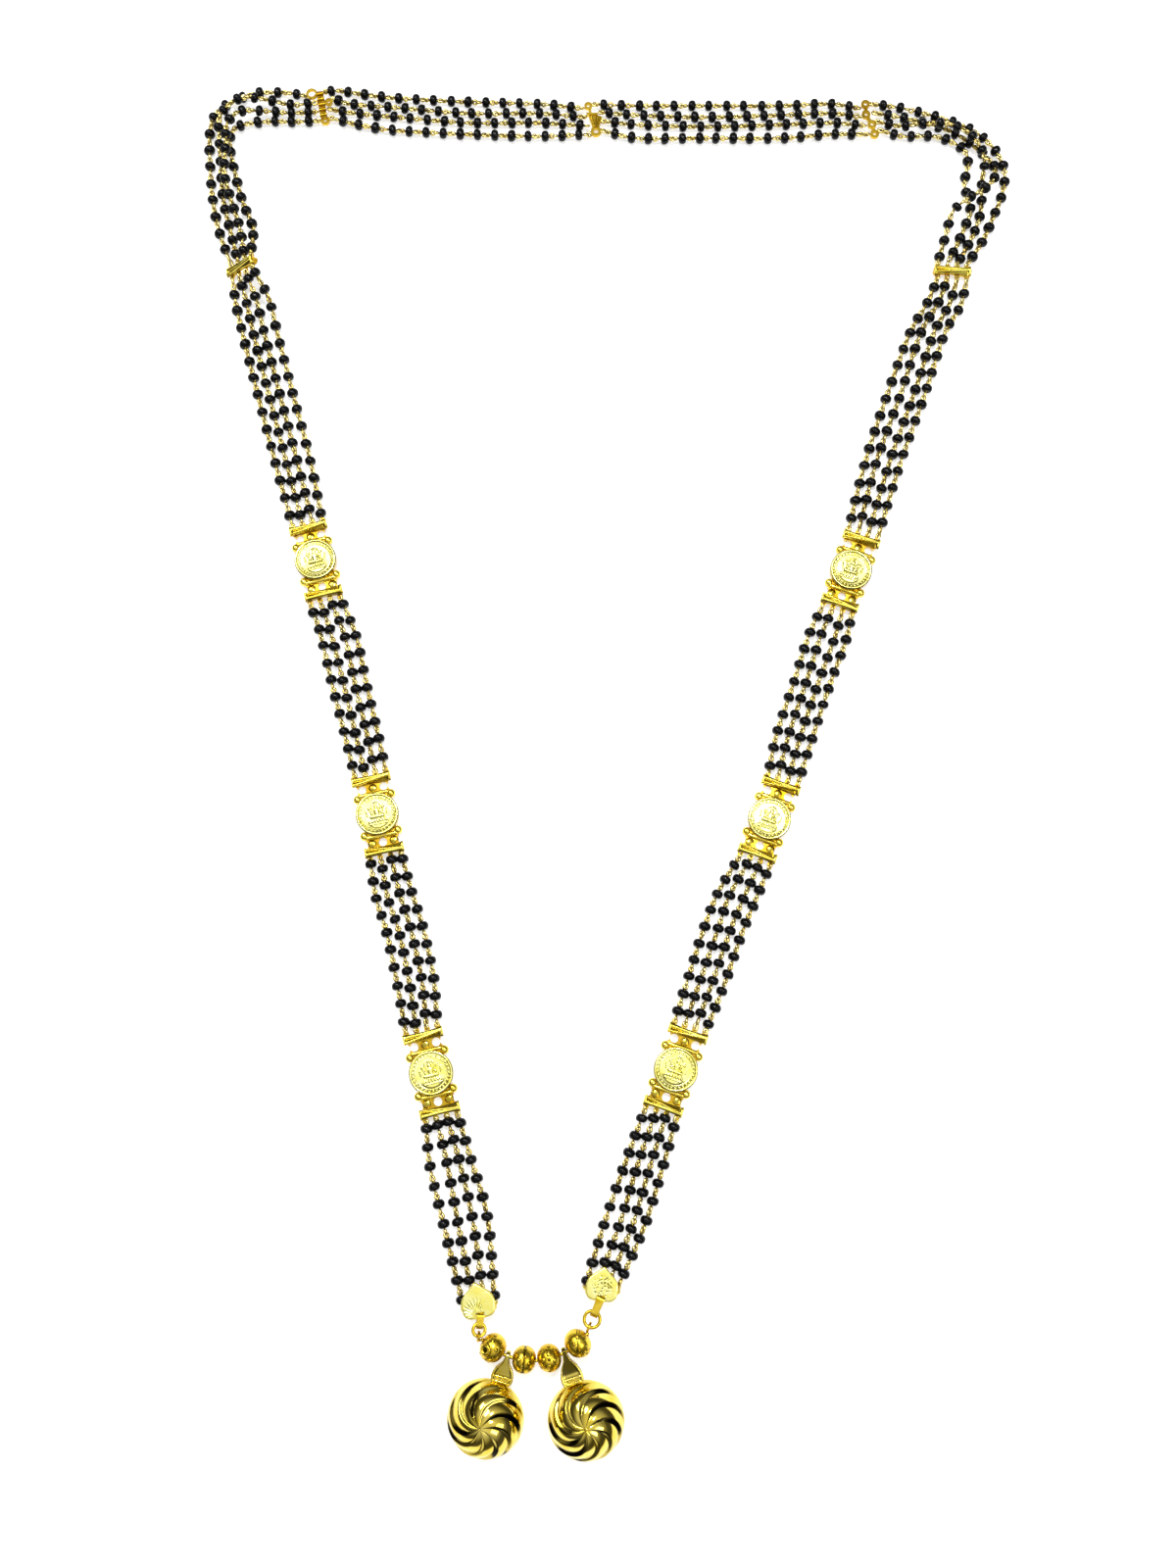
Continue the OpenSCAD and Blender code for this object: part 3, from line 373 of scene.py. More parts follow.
def noise(nodes, links, scale, detail=3.0):
    """Noise on Object coordinates; scale counts cells to a metre."""
    place = nodes.new("ShaderNodeTexCoord")
    texture = nodes.new("ShaderNodeTexNoise")
    texture.inputs["Scale"].default_value = scale
    texture.inputs["Detail"].default_value = detail
    links.new(place.outputs["Object"], texture.inputs["Vector"])
    return texture.outputs["Fac"]


def ramp(nodes, links, value, stops):
    """A colour ramp over value, with (place, colour) stops."""
    node = nodes.new("ShaderNodeValToRGB")
    while len(node.color_ramp.elements) < len(stops):
        node.color_ramp.elements.new(0.5)
    for element, (place, colour) in zip(node.color_ramp.elements, stops):
        element.position = place
        element.color = (*colour, 1)
    links.new(value, node.inputs["Fac"])
    return node.outputs["Color"]


def unevenness(nodes, links, shader, cells, strength):
    """Fine noise that bends a shader's normal."""
    bump = nodes.new("ShaderNodeBump")
    bump.inputs["Strength"].default_value = strength
    bump.inputs["Distance"].default_value = 0.0002
    links.new(noise(nodes, links, cells, 2.0), bump.inputs["Height"])
    links.new(bump.outputs["Normal"], shader.inputs["Normal"])


def gold_material(name, light, deep, dark, rough, bump=0.02, cells=900):
    """Gold plating: light and deep tones drift in soft patches, painted shade and painted
    reflections darken it by the piece's own shade value, and fine noise breaks up the gloss."""
    material, nodes, links, shader = new_material(name)
    shader.inputs["Metallic"].default_value = 1.0
    tone = ramp(nodes, links, noise(nodes, links, cells * 0.35), [(0.35, deep), (0.65, light)])
    shade = nodes.new("ShaderNodeAttribute")
    shade.attribute_name = "shade"
    mix = nodes.new("ShaderNodeMix")
    mix.data_type = "RGBA"
    mix.inputs["B"].default_value = (*dark, 1)
    links.new(shade.outputs["Fac"], mix.inputs["Factor"])
    links.new(tone, mix.inputs["A"])
    links.new(mix.outputs["Result"], shader.inputs["Base Color"])
    spread = nodes.new("ShaderNodeMapRange")
    spread.inputs["To Min"].default_value = rough * 0.8
    spread.inputs["To Max"].default_value = rough * 1.3
    links.new(noise(nodes, links, cells * 2), spread.inputs["Value"])
    links.new(spread.outputs["Result"], shader.inputs["Roughness"])
    unevenness(nodes, links, shader, cells, bump)
    return material


def bead_material():
    """Black glass: near black with a faint drift of tone, a clear hard gloss and fine unevenness."""
    material, nodes, links, shader = new_material("black_glass")
    tone = ramp(nodes, links, noise(nodes, links, 300),
                [(0.3, (0.001, 0.001, 0.0012)), (0.7, (0.004, 0.004, 0.005))])
    links.new(tone, shader.inputs["Base Color"])
    shader.inputs["Specular IOR Level"].default_value = 0.15
    shader.inputs["Roughness"].default_value = 0.11
    unevenness(nodes, links, shader, 700, 0.02)
    return material


MIRROR_GOLD = gold_material(
    "mirror_gold", (0.86, 0.69, 0.15), (0.74, 0.55, 0.05), (0.006, 0.004, 0.001), 0.11)
PALE_GOLD = gold_material(
    "pale_gold", (0.97, 0.93, 0.36), (0.93, 0.84, 0.17), (0.05, 0.035, 0.0), 0.26, 0.06, 1400)
# Deep gold: the same gold in darker tones, painted shade for the hardware below the coins and straps
DEEP_GOLD = gold_material(
    "deep_gold", (0.70, 0.48, 0.04), (0.42, 0.24, 0.008), (0.05, 0.03, 0.0), 0.22, 0.08)
STRAP_GOLD = gold_material(
    "strap_gold", (0.93, 0.78, 0.14), (0.80, 0.60, 0.06), (0.07, 0.04, 0.0), 0.2, 0.01)
BEAD_GOLD = gold_material(
    "bead_gold", (0.82, 0.60, 0.06), (0.60, 0.38, 0.012), (0.04, 0.02, 0.0), 0.25, 0.12, 1500)
WIRE_GOLD = gold_material(
    "wire_gold", (0.88, 0.73, 0.28), (0.66, 0.49, 0.13), (0.1, 0.07, 0.01), 0.25)
BLACK_GLASS = bead_material()


# Strands of seed beads

def port(row, side, i, reach, pitch=STRAND_PITCH, roll=0):
    """Where strand i meets the hardware: across its row by the pitch, along its run by the reach,
    and raised where the row is rolled."""
    x = (i - 1.5) * pitch
    turn, roll = math.radians(row[2]), math.radians(roll)
    across, along = x * math.cos(roll), side * reach
    return (row[0] + across * math.cos(turn) - along * math.sin(turn),
            row[1] + across * math.sin(turn) + along * math.cos(turn),
            STRAND_Z + (1.5 * pitch + x) * math.sin(roll))


def strand_ends(name, i):
    """Both ends of strand i of a group."""
    between_coins = {"left_strings_2": LEFT_COINS[:2], "left_strings_3": LEFT_COINS[1:],
                     "right_strings_2": RIGHT_COINS[:2], "right_strings_3": RIGHT_COINS[1:]}
    if name in between_coins:
        low, high = between_coins[name]
        return port(low, 1, i, LINK_REACH), port(high, -1, i, LINK_REACH)
    if name == "left_strings_1":
        return (port(LEFT_HEART, 1, i, HEART_REACH, HEART_PITCH),
                port(LEFT_COINS[0], -1, i, LINK_REACH))
    if name == "right_strings_1":
        return (port(RIGHT_HEART, 1, i, HEART_REACH, HEART_PITCH),
                port(RIGHT_COINS[0], -1, i, LINK_REACH))
    if name == "left_strings_4":
        return (port(LEFT_COINS[2], 1, i, LINK_REACH),
                port(LEFT_SPACER, -1, i, SPACER_REACH, roll=LEFT_ROLL))
    if name == "right_strings_4":
        return (port(RIGHT_COINS[2], 1, i, LINK_REACH),
                port(RIGHT_SPACER, -1, i, SPACER_REACH))
    if name == "left_strings_5":
        return (port(LEFT_SPACER, 1, i, SPACER_REACH, roll=LEFT_ROLL),
                port(TOP_LEFT, -1, i, LEFT_SIDE[i], TOP_PITCH))
    if name == "right_strings_5":
        return (port(TOP_RIGHT, 1, i, TOP_REACH, TOP_PITCH),
                port(RIGHT_SPACER, 1, CORNER_ORDER[i], SPACER_REACH))
    if name == "top_strings_left":
        return (port(TOP_LEFT, 1, i, RIGHT_SIDE[i], TOP_PITCH),
                port(TOP_MIDDLE, -1, i, TOP_REACH, TOP_PITCH))
    return (port(TOP_MIDDLE, 1, i, MIDDLE_SIDE[i], TOP_PITCH),
            port(TOP_RIGHT, -1, i, TOP_REACH, TOP_PITCH))


def strand_line(name, i):
    """Dense points along strand i: in each span a cubic through its two route points, whose
    slope at a point is half the way from the point before to the point after."""
    first, last = strand_ends(name, i)
    middle = [(p[0], p[1], p[2] if len(p) > 2 else STRAND_Z) for p in ROUTES[name][i]]
    p = np.array([first] + middle + [last])
    q = np.vstack([2 * p[0] - p[1], p, 2 * p[-1] - p[-2]])
    t = np.linspace(0, 1, 24, endpoint=False)[:, None]
    spans = [0.5 * (2 * q[k + 1] + (q[k + 2] - q[k]) * t
                    + (2 * q[k] - 5 * q[k + 1] + 4 * q[k + 2] - q[k + 3]) * t ** 2
                    + (3 * q[k + 1] - q[k] - 3 * q[k + 2] + q[k + 3]) * t ** 3)
             for k in range(len(p) - 1)]
    return np.vstack(spans + [p[-1:]])


class Strand:
    """A strand's line by length along it, continued straight past both ends."""

    def __init__(self, line):
        step = np.linalg.norm(np.diff(line, axis=0), axis=1)
        before = line[0] - OVERRUN * (line[1] - line[0]) / step[0]
        after = line[-1] + OVERRUN * (line[-1] - line[-2]) / step[-1]
        self.line = np.vstack([before, line, after])
        self.length = step.sum()
        self.s = np.concatenate([[-OVERRUN, 0], np.cumsum(step), [self.length + OVERRUN]])

    def at(self, s):
        """Points at lengths s."""
        return np.stack([np.interp(s, self.s, self.line[:, k]) for k in range(3)], -1)

    def axes(self, s, roll):
        """Along, across and up at lengths s, rolled about the strand by roll degrees."""
        along = self.at(s + 0.4) - self.at(s - 0.4)
        along /= np.linalg.norm(along, axis=1)[:, None]
        across = np.cross(np.array([0, 0, 1.0]), along)
        across /= np.linalg.norm(across, axis=1)[:, None]
        up = np.cross(along, across)
        c, d = np.cos(np.radians(roll))[:, None], np.sin(np.radians(roll))[:, None]
        return np.stack([along, c * across + d * up, c * up - d * across], 1)


def turned_profile(x, r, count):
    """A profile turned about x: count points at distance r from the axis for each x."""
    a = np.linspace(0, 2 * np.pi, count, endpoint=False)
    points = np.stack([x[:, None] + 0 * a, r[:, None] * np.cos(a), r[:, None] * np.sin(a)], -1)
    return points.reshape(-1, 3)


def seed_bead():
    """A drilled round bead about x: the radius over the half turn f from face to face is the
    hole's plus the wall times sin(f) to the power 0.75, and the hole's wall closes it."""
    f = np.linspace(0.03, 0.97, 7) * np.pi
    x = -np.cos(f) * BEAD_LEN / 2
    r = BEAD_HOLE_R + (BEAD_D / 2 - BEAD_HOLE_R) * np.sin(f) ** 0.75
    points = turned_profile(x, r, 12)
    return points, outward(points, [grid_faces(len(x), 12, True, True)])


def wire_eye(half):
    """A long ring of wire in the x, y plane, reaching half to each side along x: its centre line
    is an oval, x by the cosine to the power 0.8 and y by the sine to the power 0.7, and its
    section is round, with painted shade on its inner side."""
    a = np.linspace(0, 2 * np.pi, 12, endpoint=False)
    x = (half - EYE_WIRE_R) * np.sign(np.cos(a)) * np.abs(np.cos(a)) ** 0.8
    y = (EYE_W / 2 - EYE_WIRE_R) * np.sign(np.sin(a)) * np.abs(np.sin(a)) ** 0.7
    centre = np.stack([x, y, 0 * a], -1)
    along = np.roll(centre, -1, 0) - np.roll(centre, 1, 0)
    along /= np.linalg.norm(along, axis=1)[:, None]
    out = np.cross(along, np.array([0, 0, 1.0]))
    b = np.linspace(0, 2 * np.pi, 5, endpoint=False)
    ring = out[:, None, :] * np.cos(b)[:, None] + np.array([0, 0, 1.0]) * np.sin(b)[:, None]
    points = (centre[:, None, :] + EYE_WIRE_R * ring).reshape(-1, 3)
    shade = np.tile(np.where(np.cos(b) < -0.2, 0.75, 0.0), len(a))
    return points, outward(points, [grid_faces(len(a), len(b), True, True)]), shade


def wire_pin(half):
    """A short closed round pin along x, through a bead."""
    x = np.array([-half, -half, half, half])
    r = np.array([0.02, PIN_R, PIN_R, 0.02])
    points = turned_profile(x, r, 6)
    return points, outward(points, capped_faces(4, 6))


def add_eyes(parts, strand, start, end, roll):
    """Two linked eyes, a quarter turn apart, from length start to length end on the strand, or
    one eye where there is room for one only."""
    middle = (start + end) / 2
    if end - start > PAIR_ROOM:
        spans = [(start, middle + EYE_CATCH, roll), (middle - EYE_CATCH, end, roll + 90)]
    else:
        spans = [(start - 0.1, end + 0.1, roll)]
    for low, high, turn in spans:
        unit, faces, shade = wire_eye((high - low) / 2)
        at = np.array([(low + high) / 2])
        points, faces = copies(unit, faces, strand.at(at), strand.axes(at, np.array([turn])))
        parts.append((points, faces, shade))


def string_group(name):
    """The four strands of one group: beads as one piece, wire loops as another."""
    bead_parts, wire_parts = [], []
    unit, faces = seed_bead()
    pin, pin_faces = wire_pin(BEAD_LEN / 2 + 0.15)
    for i in range(4):
        strand = Strand(strand_line(name, i))
        first, pitch, count = SEED_BEADS[name][i]
        s = first + pitch * np.arange(count) + rng.uniform(-BEAD_SHIFT, BEAD_SHIFT, count)
        centres = strand.at(s)
        axes = strand.axes(s, rng.uniform(0, 360, count))
        lean = rng.uniform(-BEAD_LEAN, BEAD_LEAN, (count, 2))
        axes[:, 0] += lean[:, :1] * axes[:, 1] + lean[:, 1:] * axes[:, 2]
        size = rng.uniform(*BEAD_SIZES, (count, 1, 1))
        points, bead_faces = copies(unit, faces, centres, axes * size)
        bead_parts.append((points, bead_faces, 0.0))
        points, through_faces = copies(pin, pin_faces, centres, axes)
        wire_parts.append((points, through_faces, 0.0))
        half = BEAD_LEN / 2 - 0.05
        stops = np.concatenate([[-END_CATCH - half], s, [strand.length + END_CATCH + half]])
        for low, high in zip(stops[:-1], stops[1:]):
            add_eyes(wire_parts, strand, low + half, high - half, rng.normal(0, LOOP_ROLL))
    make_piece(name + "_beads", bead_parts, BLACK_GLASS, [name])
    make_piece(name + "_wire_loops", wire_parts, WIRE_GOLD)


# Reliefs on coins and hearts

def rounded(distance, width, height):
    """A round-topped ridge or dot: height times the square root of 1 - (distance / width)^2."""
    return height * np.sqrt(np.clip(1 - (distance / width) ** 2, 0, 1))


def to_segment(x, y, a, b):
    """Distance from points to the segment from a to b."""
    ax, ay = a
    dx, dy = b[0] - ax, b[1] - ay
    t = np.clip(((x - ax) * dx + (y - ay) * dy) / (dx * dx + dy * dy + 1e-9), 0, 1)
    return np.hypot(x - ax - t * dx, y - ay - t * dy)


def figure_relief(x, y):
    """A plain seated figure with raised hands, a halo and a petalled seat."""
    limbs = [((0, 1.5), (0, 1.7), 0.42, 0.34), ((0, 2.05), (0, 2.4), 0.2, 0.26),
             ((-0.5, 0.85), (0.5, 0.85), 0.3, 0.32), ((0, 0.85), (0, 0.1), 0.52, 0.34),
             ((-1.25, -0.5), (1.25, -0.5), 0.4, 0.34)]
    for side in (-1, 1):
        limbs += [((0.65 * side, 0.8), (1.1 * side, 0.1), 0.2, 0.27),
                  ((1.1 * side, 0.1), (1.35 * side, 0.95), 0.16, 0.24),
                  ((1.45 * side, 1.3), (1.5 * side, 1.4), 0.3, 0.22),
                  ((2.1 * side, -0.2), (2.25 * side, 0.9), 0.14, 0.16),
                  ((0.16 * side, 1.66), (0.2 * side, 1.66), 0.06, 0.37)]
    limbs += [((0.48 * k, -1.15), (0.62 * k, -1.6), 0.25, 0.22) for k in range(-3, 4)]
    height = rounded(np.abs(np.hypot(x, y - 1.6) - 0.98), 0.1, 0.15) * (y > 1.1)
    for a, b, width, top in limbs:
        height = np.maximum(height, rounded(to_segment(x, y, a, b), width, top))
    return height


def coin_relief(x, y, darkening):
    """Height of a coin's face over its plate, and how dark it is: painted shade in the groove
    inside the ring of dots and at the edge, both stronger towards the lower right, a dark
    crescent, and the coin's overall darkening.
    """
    r, a = np.hypot(x, y), np.arctan2(y, x)
    dots = 30
    step = 2 * np.pi / dots
    off = (np.mod(a + step / 2, step) - step / 2) * r
    height = np.maximum(rounded(np.abs(r - COIN_RIM_R), 0.32, 0.36), 0.06)
    height = np.maximum(height, rounded(np.hypot(r - COIN_DOTS_R, off), 0.2, 0.2))
    height = np.maximum(height, rounded(np.abs(r - 3.36), 0.1, 0.14))
    height = np.maximum(height, 0.06 + figure_relief(x, y) * (r < COIN_FIELD_R))
    height = np.maximum(height, rounded(to_segment(x, y, (-1.7, -2.15), (1.7, -2.15)), 0.16, 0.18))
    # Painted shade in the groove inside the dots and at the coin's edge, more to the lower right
    low_side = 0.5 - 0.5 * np.sin(a - 0.35)
    groove = rounded(np.abs(r - COIN_DOTS_R), 0.33, 1) * (height < 0.12)
    groove = groove * (0.25 + 0.75 * low_side)
    crescent = rounded(np.abs(np.hypot(x, y + 0.25) - 2.78), 0.24, 1) * np.clip((-y - 1.3) / 0.8, 0, 1)
    outline = np.clip((r - 4.36) / 0.06, 0, 1) * (0.45 + 0.4 * low_side)
    return height, np.clip(groove * 0.95 + crescent * 0.9 + darkening * 0.2 + outline, 0, 1)


def coin_face(name, row, darkening):
    """A coin's struck face: a polar grid of the relief, with painted shade on its steep
    slopes, more on the darker coins.
    """
    r = np.concatenate([np.linspace(0.06, 3.2, 34), np.linspace(3.25, COIN_R, 24)])
    a = np.linspace(0, 2 * np.pi, 168, endpoint=False)
    x, y = r[:, None] * np.cos(a), r[:, None] * np.sin(a)
    height, shade = coin_relief(x, y, darkening)
    across = np.abs(np.gradient(height, axis=1)) / (r[:, None] * (a[1] - a[0]) + 0.02)
    along = np.abs(np.gradient(height, axis=0)) / np.gradient(r)[:, None]
    slope = np.hypot(across, along)
    steep = np.clip(slope - 0.35, 0, 1) * (r[:, None] < COIN_FIELD_R)
    shade = np.clip(shade + (0.1 + darkening) * steep, 0, 1)
    top = np.stack([x, y, COIN_TOP + height], -1)
    points, faces = polar_grid(top, COIN_TOP + height[0].mean(), COIN_TOP - 0.3)
    # The coin's edge wall and underside get a little painted shade
    shade = np.concatenate([shade.reshape(-1), np.full(len(a) + 2, 0.1)])
    make_piece(name, [(placed_at(points, row), faces, shade)], PALE_GOLD)


def ball(r, squash):
    """A rounded knob: a ball of radius r, squash times as high, with small flat caps as poles."""
    f = np.linspace(0.08, np.pi - 0.08, 13)
    a = np.linspace(0, 2 * np.pi, 20, endpoint=False)
    x, y = r * np.sin(f)[:, None] * np.cos(a), r * np.sin(f)[:, None] * np.sin(a)
    points = np.stack([x, y, squash * r * np.cos(f)[:, None] + 0 * a], -1).reshape(-1, 3)
    return points, outward(points, capped_faces(len(f), len(a)))


def folded_strap(side, cross, top):
    """The folded top of a twisted bar: over a flat strip along x, its height is the highest of a
    round ridge along one edge, one that crosses from corner to corner and a knob near each end;
    where it is low it is darkened as painted shade."""
    u = np.linspace(-1, 1, 70)[:, None]
    v = np.linspace(-1, 1, 27)
    half = 0.78 + cross * np.abs(u) ** 1.5 + 0.12 * np.exp(-((np.abs(u) - 0.93) / 0.06) ** 2)
    y = half * v
    edge = rounded(np.abs(y - side * (0.2 + cross * 0.8)), 0.46, 0.42)
    diagonal = rounded(np.abs(y + side * (0.28 - 0.62 * u) * 0.9), 0.36, 0.46)
    knob = 0.5 * np.exp(-((np.abs(u) - 0.92) / 0.07) ** 2) * np.sqrt(np.clip(1 - v ** 2, 0, 1))
    height = np.maximum(np.maximum(edge, diagonal), knob)
    low = np.clip(1 - height / 0.3, 0, 1)
    height = height * np.sqrt(np.clip(1 - np.abs(v) ** 6, 0, 1))
    height = height * np.clip((1 - np.abs(u)) / 0.04, 0, 1)
    x = u * STRAP_LENGTH / 2 + 0 * v
    top_side = np.stack([x, y, top + height], -1)
    base = np.stack([x[::-1], y[::-1], top - STRAP_BASE + 0 * height], -1)
    loop = np.concatenate([top_side, base])
    n, m = loop.shape[0], loop.shape[1]
    i = np.arange(n // 2 - 1)
    left = np.stack([i * m, (i + 1) * m, (n - 2 - i) * m, (n - 1 - i) * m], -1)
    points = loop.reshape(-1, 3)
    faces = outward(points, [grid_faces(n, m, True, False), left[:, ::-1], left + m - 1])
    shade = np.concatenate([(0.95 * low).reshape(-1), np.zeros(n // 2 * m)])
    return points, faces, shade


def link_trim(name, row):
    """What lies below and above a link's coin: on either side a folded strap, a round bar and
    two nubs, with one filled cell in the upper web and two in the lower, the cells darkened as
    painted shade."""
    parts = []
    for side in (-1, 1):
        points, faces, shade = folded_strap(side, 0.22, STRAP_TOP)
        parts.append((points + np.array([0, STRAP_Y * side, 0]), faces, shade))
        points, faces = rib_bar(BAR_R, BAR_HALF)
        parts.append((turned(points, 90) + np.array([0, BAR_Y * side, BAR_Z]), faces, 0.0))
        points, faces = ball(NUB_R, 0.95)
        for end in (-1, 1):
            parts.append((points + np.array([NUB_X * end, NUB_Y * side, NUB_Z]), faces, 0.0))
        points, faces = ball(CELL_R, 0.3)
        for column in ((0,) if side > 0 else (-1, 1)):
            at = np.array([WEB_PITCH * column, CELL_Y * side, CELL_Z])
            parts.append((points + at, faces, 0.55))
    make_piece(name, [(placed_at(p, row), f, s) for p, f, s in parts], STRAP_GOLD)


def spacer_straps(name, row, roll):
    """The folded strap over a side spacer's bar, rolled about the spacer's run as the bar is."""
    points, faces, shade = folded_strap(1, 0.3, 2.0)
    # The strap's painted shade, at 0.55 of its strength here
    shade = shade * 0.55
    points = turned(points - np.array([0, 0, STRAND_Z]), -roll, "y")
    lift = 1.5 * STRAND_PITCH * math.sin(math.radians(roll))
    placed = turned(points, row[2]) + np.array([row[0], row[1], STRAND_Z + lift])
    make_piece(name, [(placed, faces, shade)], STRAP_GOLD)


def heart_radius(a):
    """Distance from the heart plate's middle to its edge at each angle a, where the outline is
    wrapped tightly round six circles: of all straight lines that touch them from outside, the
    nearest along the angle, which is a line's own distance over the cosine of its angle to it."""
    circles = [(0, 3.2, 0.4), (0, -1.4, 2.0), (0.6, -0.55, 2.85), (-0.6, -0.55, 2.85),
               (1.7, -1.65, 1.6), (-1.7, -1.65, 1.6)]
    t = np.linspace(0, 2 * np.pi, 120, endpoint=False)
    rim = np.vstack([np.stack([x + r * np.cos(t), y + r * np.sin(t)], -1) for x, y, r in circles])
    reach = (rim @ np.array([np.cos(a), np.sin(a)])).max(0)
    facing = np.cos(a[None, :] - a[:, None])
    return np.where(facing > 0.05, reach / np.maximum(facing, 0.05), np.inf).min(1)


def heart_face(name, row, size, fan):
    """A heart plate's front: a low pillow inside the outline, cut back round the slot for the
    link, with fan lines or fine leaf veins, darkened as painted shade where they are cut in."""
    a = np.linspace(0, 2 * np.pi, 200, endpoint=False)
    edge = heart_radius(a) - 0.06
    notch = np.where(np.sin(a) < -0.5, 2.35 / np.clip(-np.sin(a), 0.3, 1), 99)
    notch = np.where(np.abs(np.cos(a)) * notch > 0.85, 99, notch)
    edge = np.minimum(edge, notch)
    t = np.linspace(0.02, 1, 44)
    x, y = t[:, None] * edge * np.cos(a), t[:, None] * edge * np.sin(a)
    bevel = np.clip((1 - t[:, None]) * edge / 0.35, 0, 1)
    height = 0.22 * np.sqrt(np.clip(1 - (1 - bevel) ** 2, 0, 1)) + 0.05 * (1 - t[:, None] ** 2)
    if fan:
        angle = np.arctan2(y + 2.6, x + 0.5)
        lines = np.clip(np.cos(angle * 26) - 0.45, 0, 1) * 1.8
        zone = np.clip(1.5 - np.abs(np.hypot(x + 0.5, y + 2.6) - 2.0), 0, 1)
        zone = zone * np.clip((0.9 - x) / 0.5, 0, 1)
    else:
        veins = np.sin(5.2 * x + 2.6 * np.sin(3.1 * y)) * np.cos(4.4 * y + 1.5 * np.sin(3.7 * x))
        lines = np.clip(veins - 0.12, 0, 1) * 1.6
        zone = np.clip((2.3 - np.hypot(x, y + 0.3)) / 0.4, 0, 1)
    cut = np.clip(lines * zone, 0, 1)
    height = height - 0.09 * cut * (bevel >= 1)
    top = np.stack([x, y, HEART_TOP + height], -1)
    points, faces = polar_grid(top, HEART_TOP + 0.25, HEART_TOP - 0.25)
    shade = np.concatenate([(0.75 * cut).reshape(-1), np.zeros(len(a) + 2)])
    placed = placed_at(points * np.array([size, size, 1]), row)
    make_piece(name, [(placed, faces, shade)], PALE_GOLD)


# Gold beads

def boss_field(points, bosses):
    """Rings, dots and pits on a bead, with painted shade inside and round each ring, round each
    dot's foot and in each pit: each boss is (direction, kind, radius, height).
    """
    unit = points / np.linalg.norm(points, axis=-1, keepdims=True)
    height = np.zeros(points.shape[:-1])
    shade = np.zeros(points.shape[:-1])
    for direction, kind, radius, top in bosses:
        d = np.asarray(direction, float)
        d = d / np.linalg.norm(d)
        far = np.arccos(np.clip(unit @ d, -1, 1)) * GOLD_FACE_R
        if kind == "ring":
            height = np.maximum(height, rounded(np.abs(far - radius), 0.3, top))
            shade = np.maximum(shade, 0.85 * (far < radius - 0.34))
            shade = np.maximum(shade, 0.6 * rounded(far - radius - 0.38, 0.14, 1))
        elif kind == "dot":
            height = np.maximum(height, rounded(far, radius, top))
            skirt = rounded(far - radius - 0.05, 0.16, 1) * (far > radius - 0.05)
            shade = np.maximum(shade, 0.7 * skirt)
        else:
            shade = np.maximum(shade, 0.95 * rounded(far, radius, 1))
            height = height - rounded(far, radius, top)
    return height, shade


def ring_of_dots(count, radius, top, spread, pole, turn=0.0):
    """Dots round a direction: count of them, at spread degrees from the pole."""
    pole = np.asarray(pole, float) / np.linalg.norm(pole)
    side = np.cross(pole, [0.3, 0.2, 0.93])
    side /= np.linalg.norm(side)
    other = np.cross(pole, side)
    lean = math.radians(spread)
    dots = []
    for k in range(count):
        a = 2 * math.pi * k / count + math.radians(turn)
        away = math.cos(a) * side + math.sin(a) * other
        dots.append((math.cos(lean) * pole + math.sin(lean) * away, "dot", radius, top))
    return dots


def gold_bead(k, bosses, seams=()):
    """A hollow drilled bead along y: a circle a little smaller than the bead, set off from its
    axis so that it reaches the bead's radius, swept round the hole, with bosses raised on it
    and seams cut in where a plane through its middle meets it; the seams and the hole's wall
    are darkened as painted shade."""
    angle, d = BEAD_ANGLES[k], GOLD_BEAD_D[k]
    r = GOLD_SECTION * d / 2
    centre = d / 2 - r
    opening = math.acos((GOLD_MOUTH_R - centre) / r)
    f = np.linspace(-opening, opening, 84)
    a = np.linspace(0, 2 * np.pi, 132, endpoint=False)
    across, along = centre + r * np.cos(f), r * np.sin(f)
    points = np.stack([across[:, None] * np.cos(a), along[:, None] + 0 * a,
                       across[:, None] * np.sin(a)], -1)
    height, shade = boss_field(points, bosses)
    for normal, width in seams:
        far = np.abs(points @ np.asarray(normal, float))
        shade = np.maximum(shade, 0.9 * rounded(far, width, 1))
        height = height - rounded(far, width, 0.12)
    fade = np.clip((opening - np.abs(f)) / 0.25, 0, 1)[:, None]
    norm = np.linalg.norm(points, axis=-1, keepdims=True)
    outer = points + (height * fade)[..., None] * points / norm
    back = along[::-7][:, None] * 0.93
    inner = np.stack([GOLD_BORE_R * np.cos(a) + 0 * back, back + 0 * a,
                      GOLD_BORE_R * np.sin(a) + 0 * back], -1)
    rows = np.vstack([outer.reshape(-1, 3), inner.reshape(-1, 3)])
    faces = outward(rows, [grid_faces(len(rows) // len(a), len(a), True, True)])
    shade = np.concatenate([shade.reshape(-1), np.full(inner.shape[0] * len(a), 0.8)])
    placed = turned(rows + np.array([WIRE_R - 0.1, 0, 0]), angle) + np.array([*WIRE_MID, WIRE_Z])
    make_piece("gold_bead_%d_face" % (k + 1), [(placed, faces, shade)], BEAD_GOLD,
               ["gold_bead_%d" % (k + 1)])


# Cup pendants

def flute_height(p):
    """Height over one flute, going anticlockwise: a short steep rise, then a long round fall."""
    rise = np.clip(p / FLUTE_RISE, 0, 1)
    fall = np.clip((p - FLUTE_RISE) / (1 - FLUTE_RISE), 0, 1)
    return np.where(p < FLUTE_RISE, rise * rise * (3 - 2 * rise), 1 - fall ** 1.7)


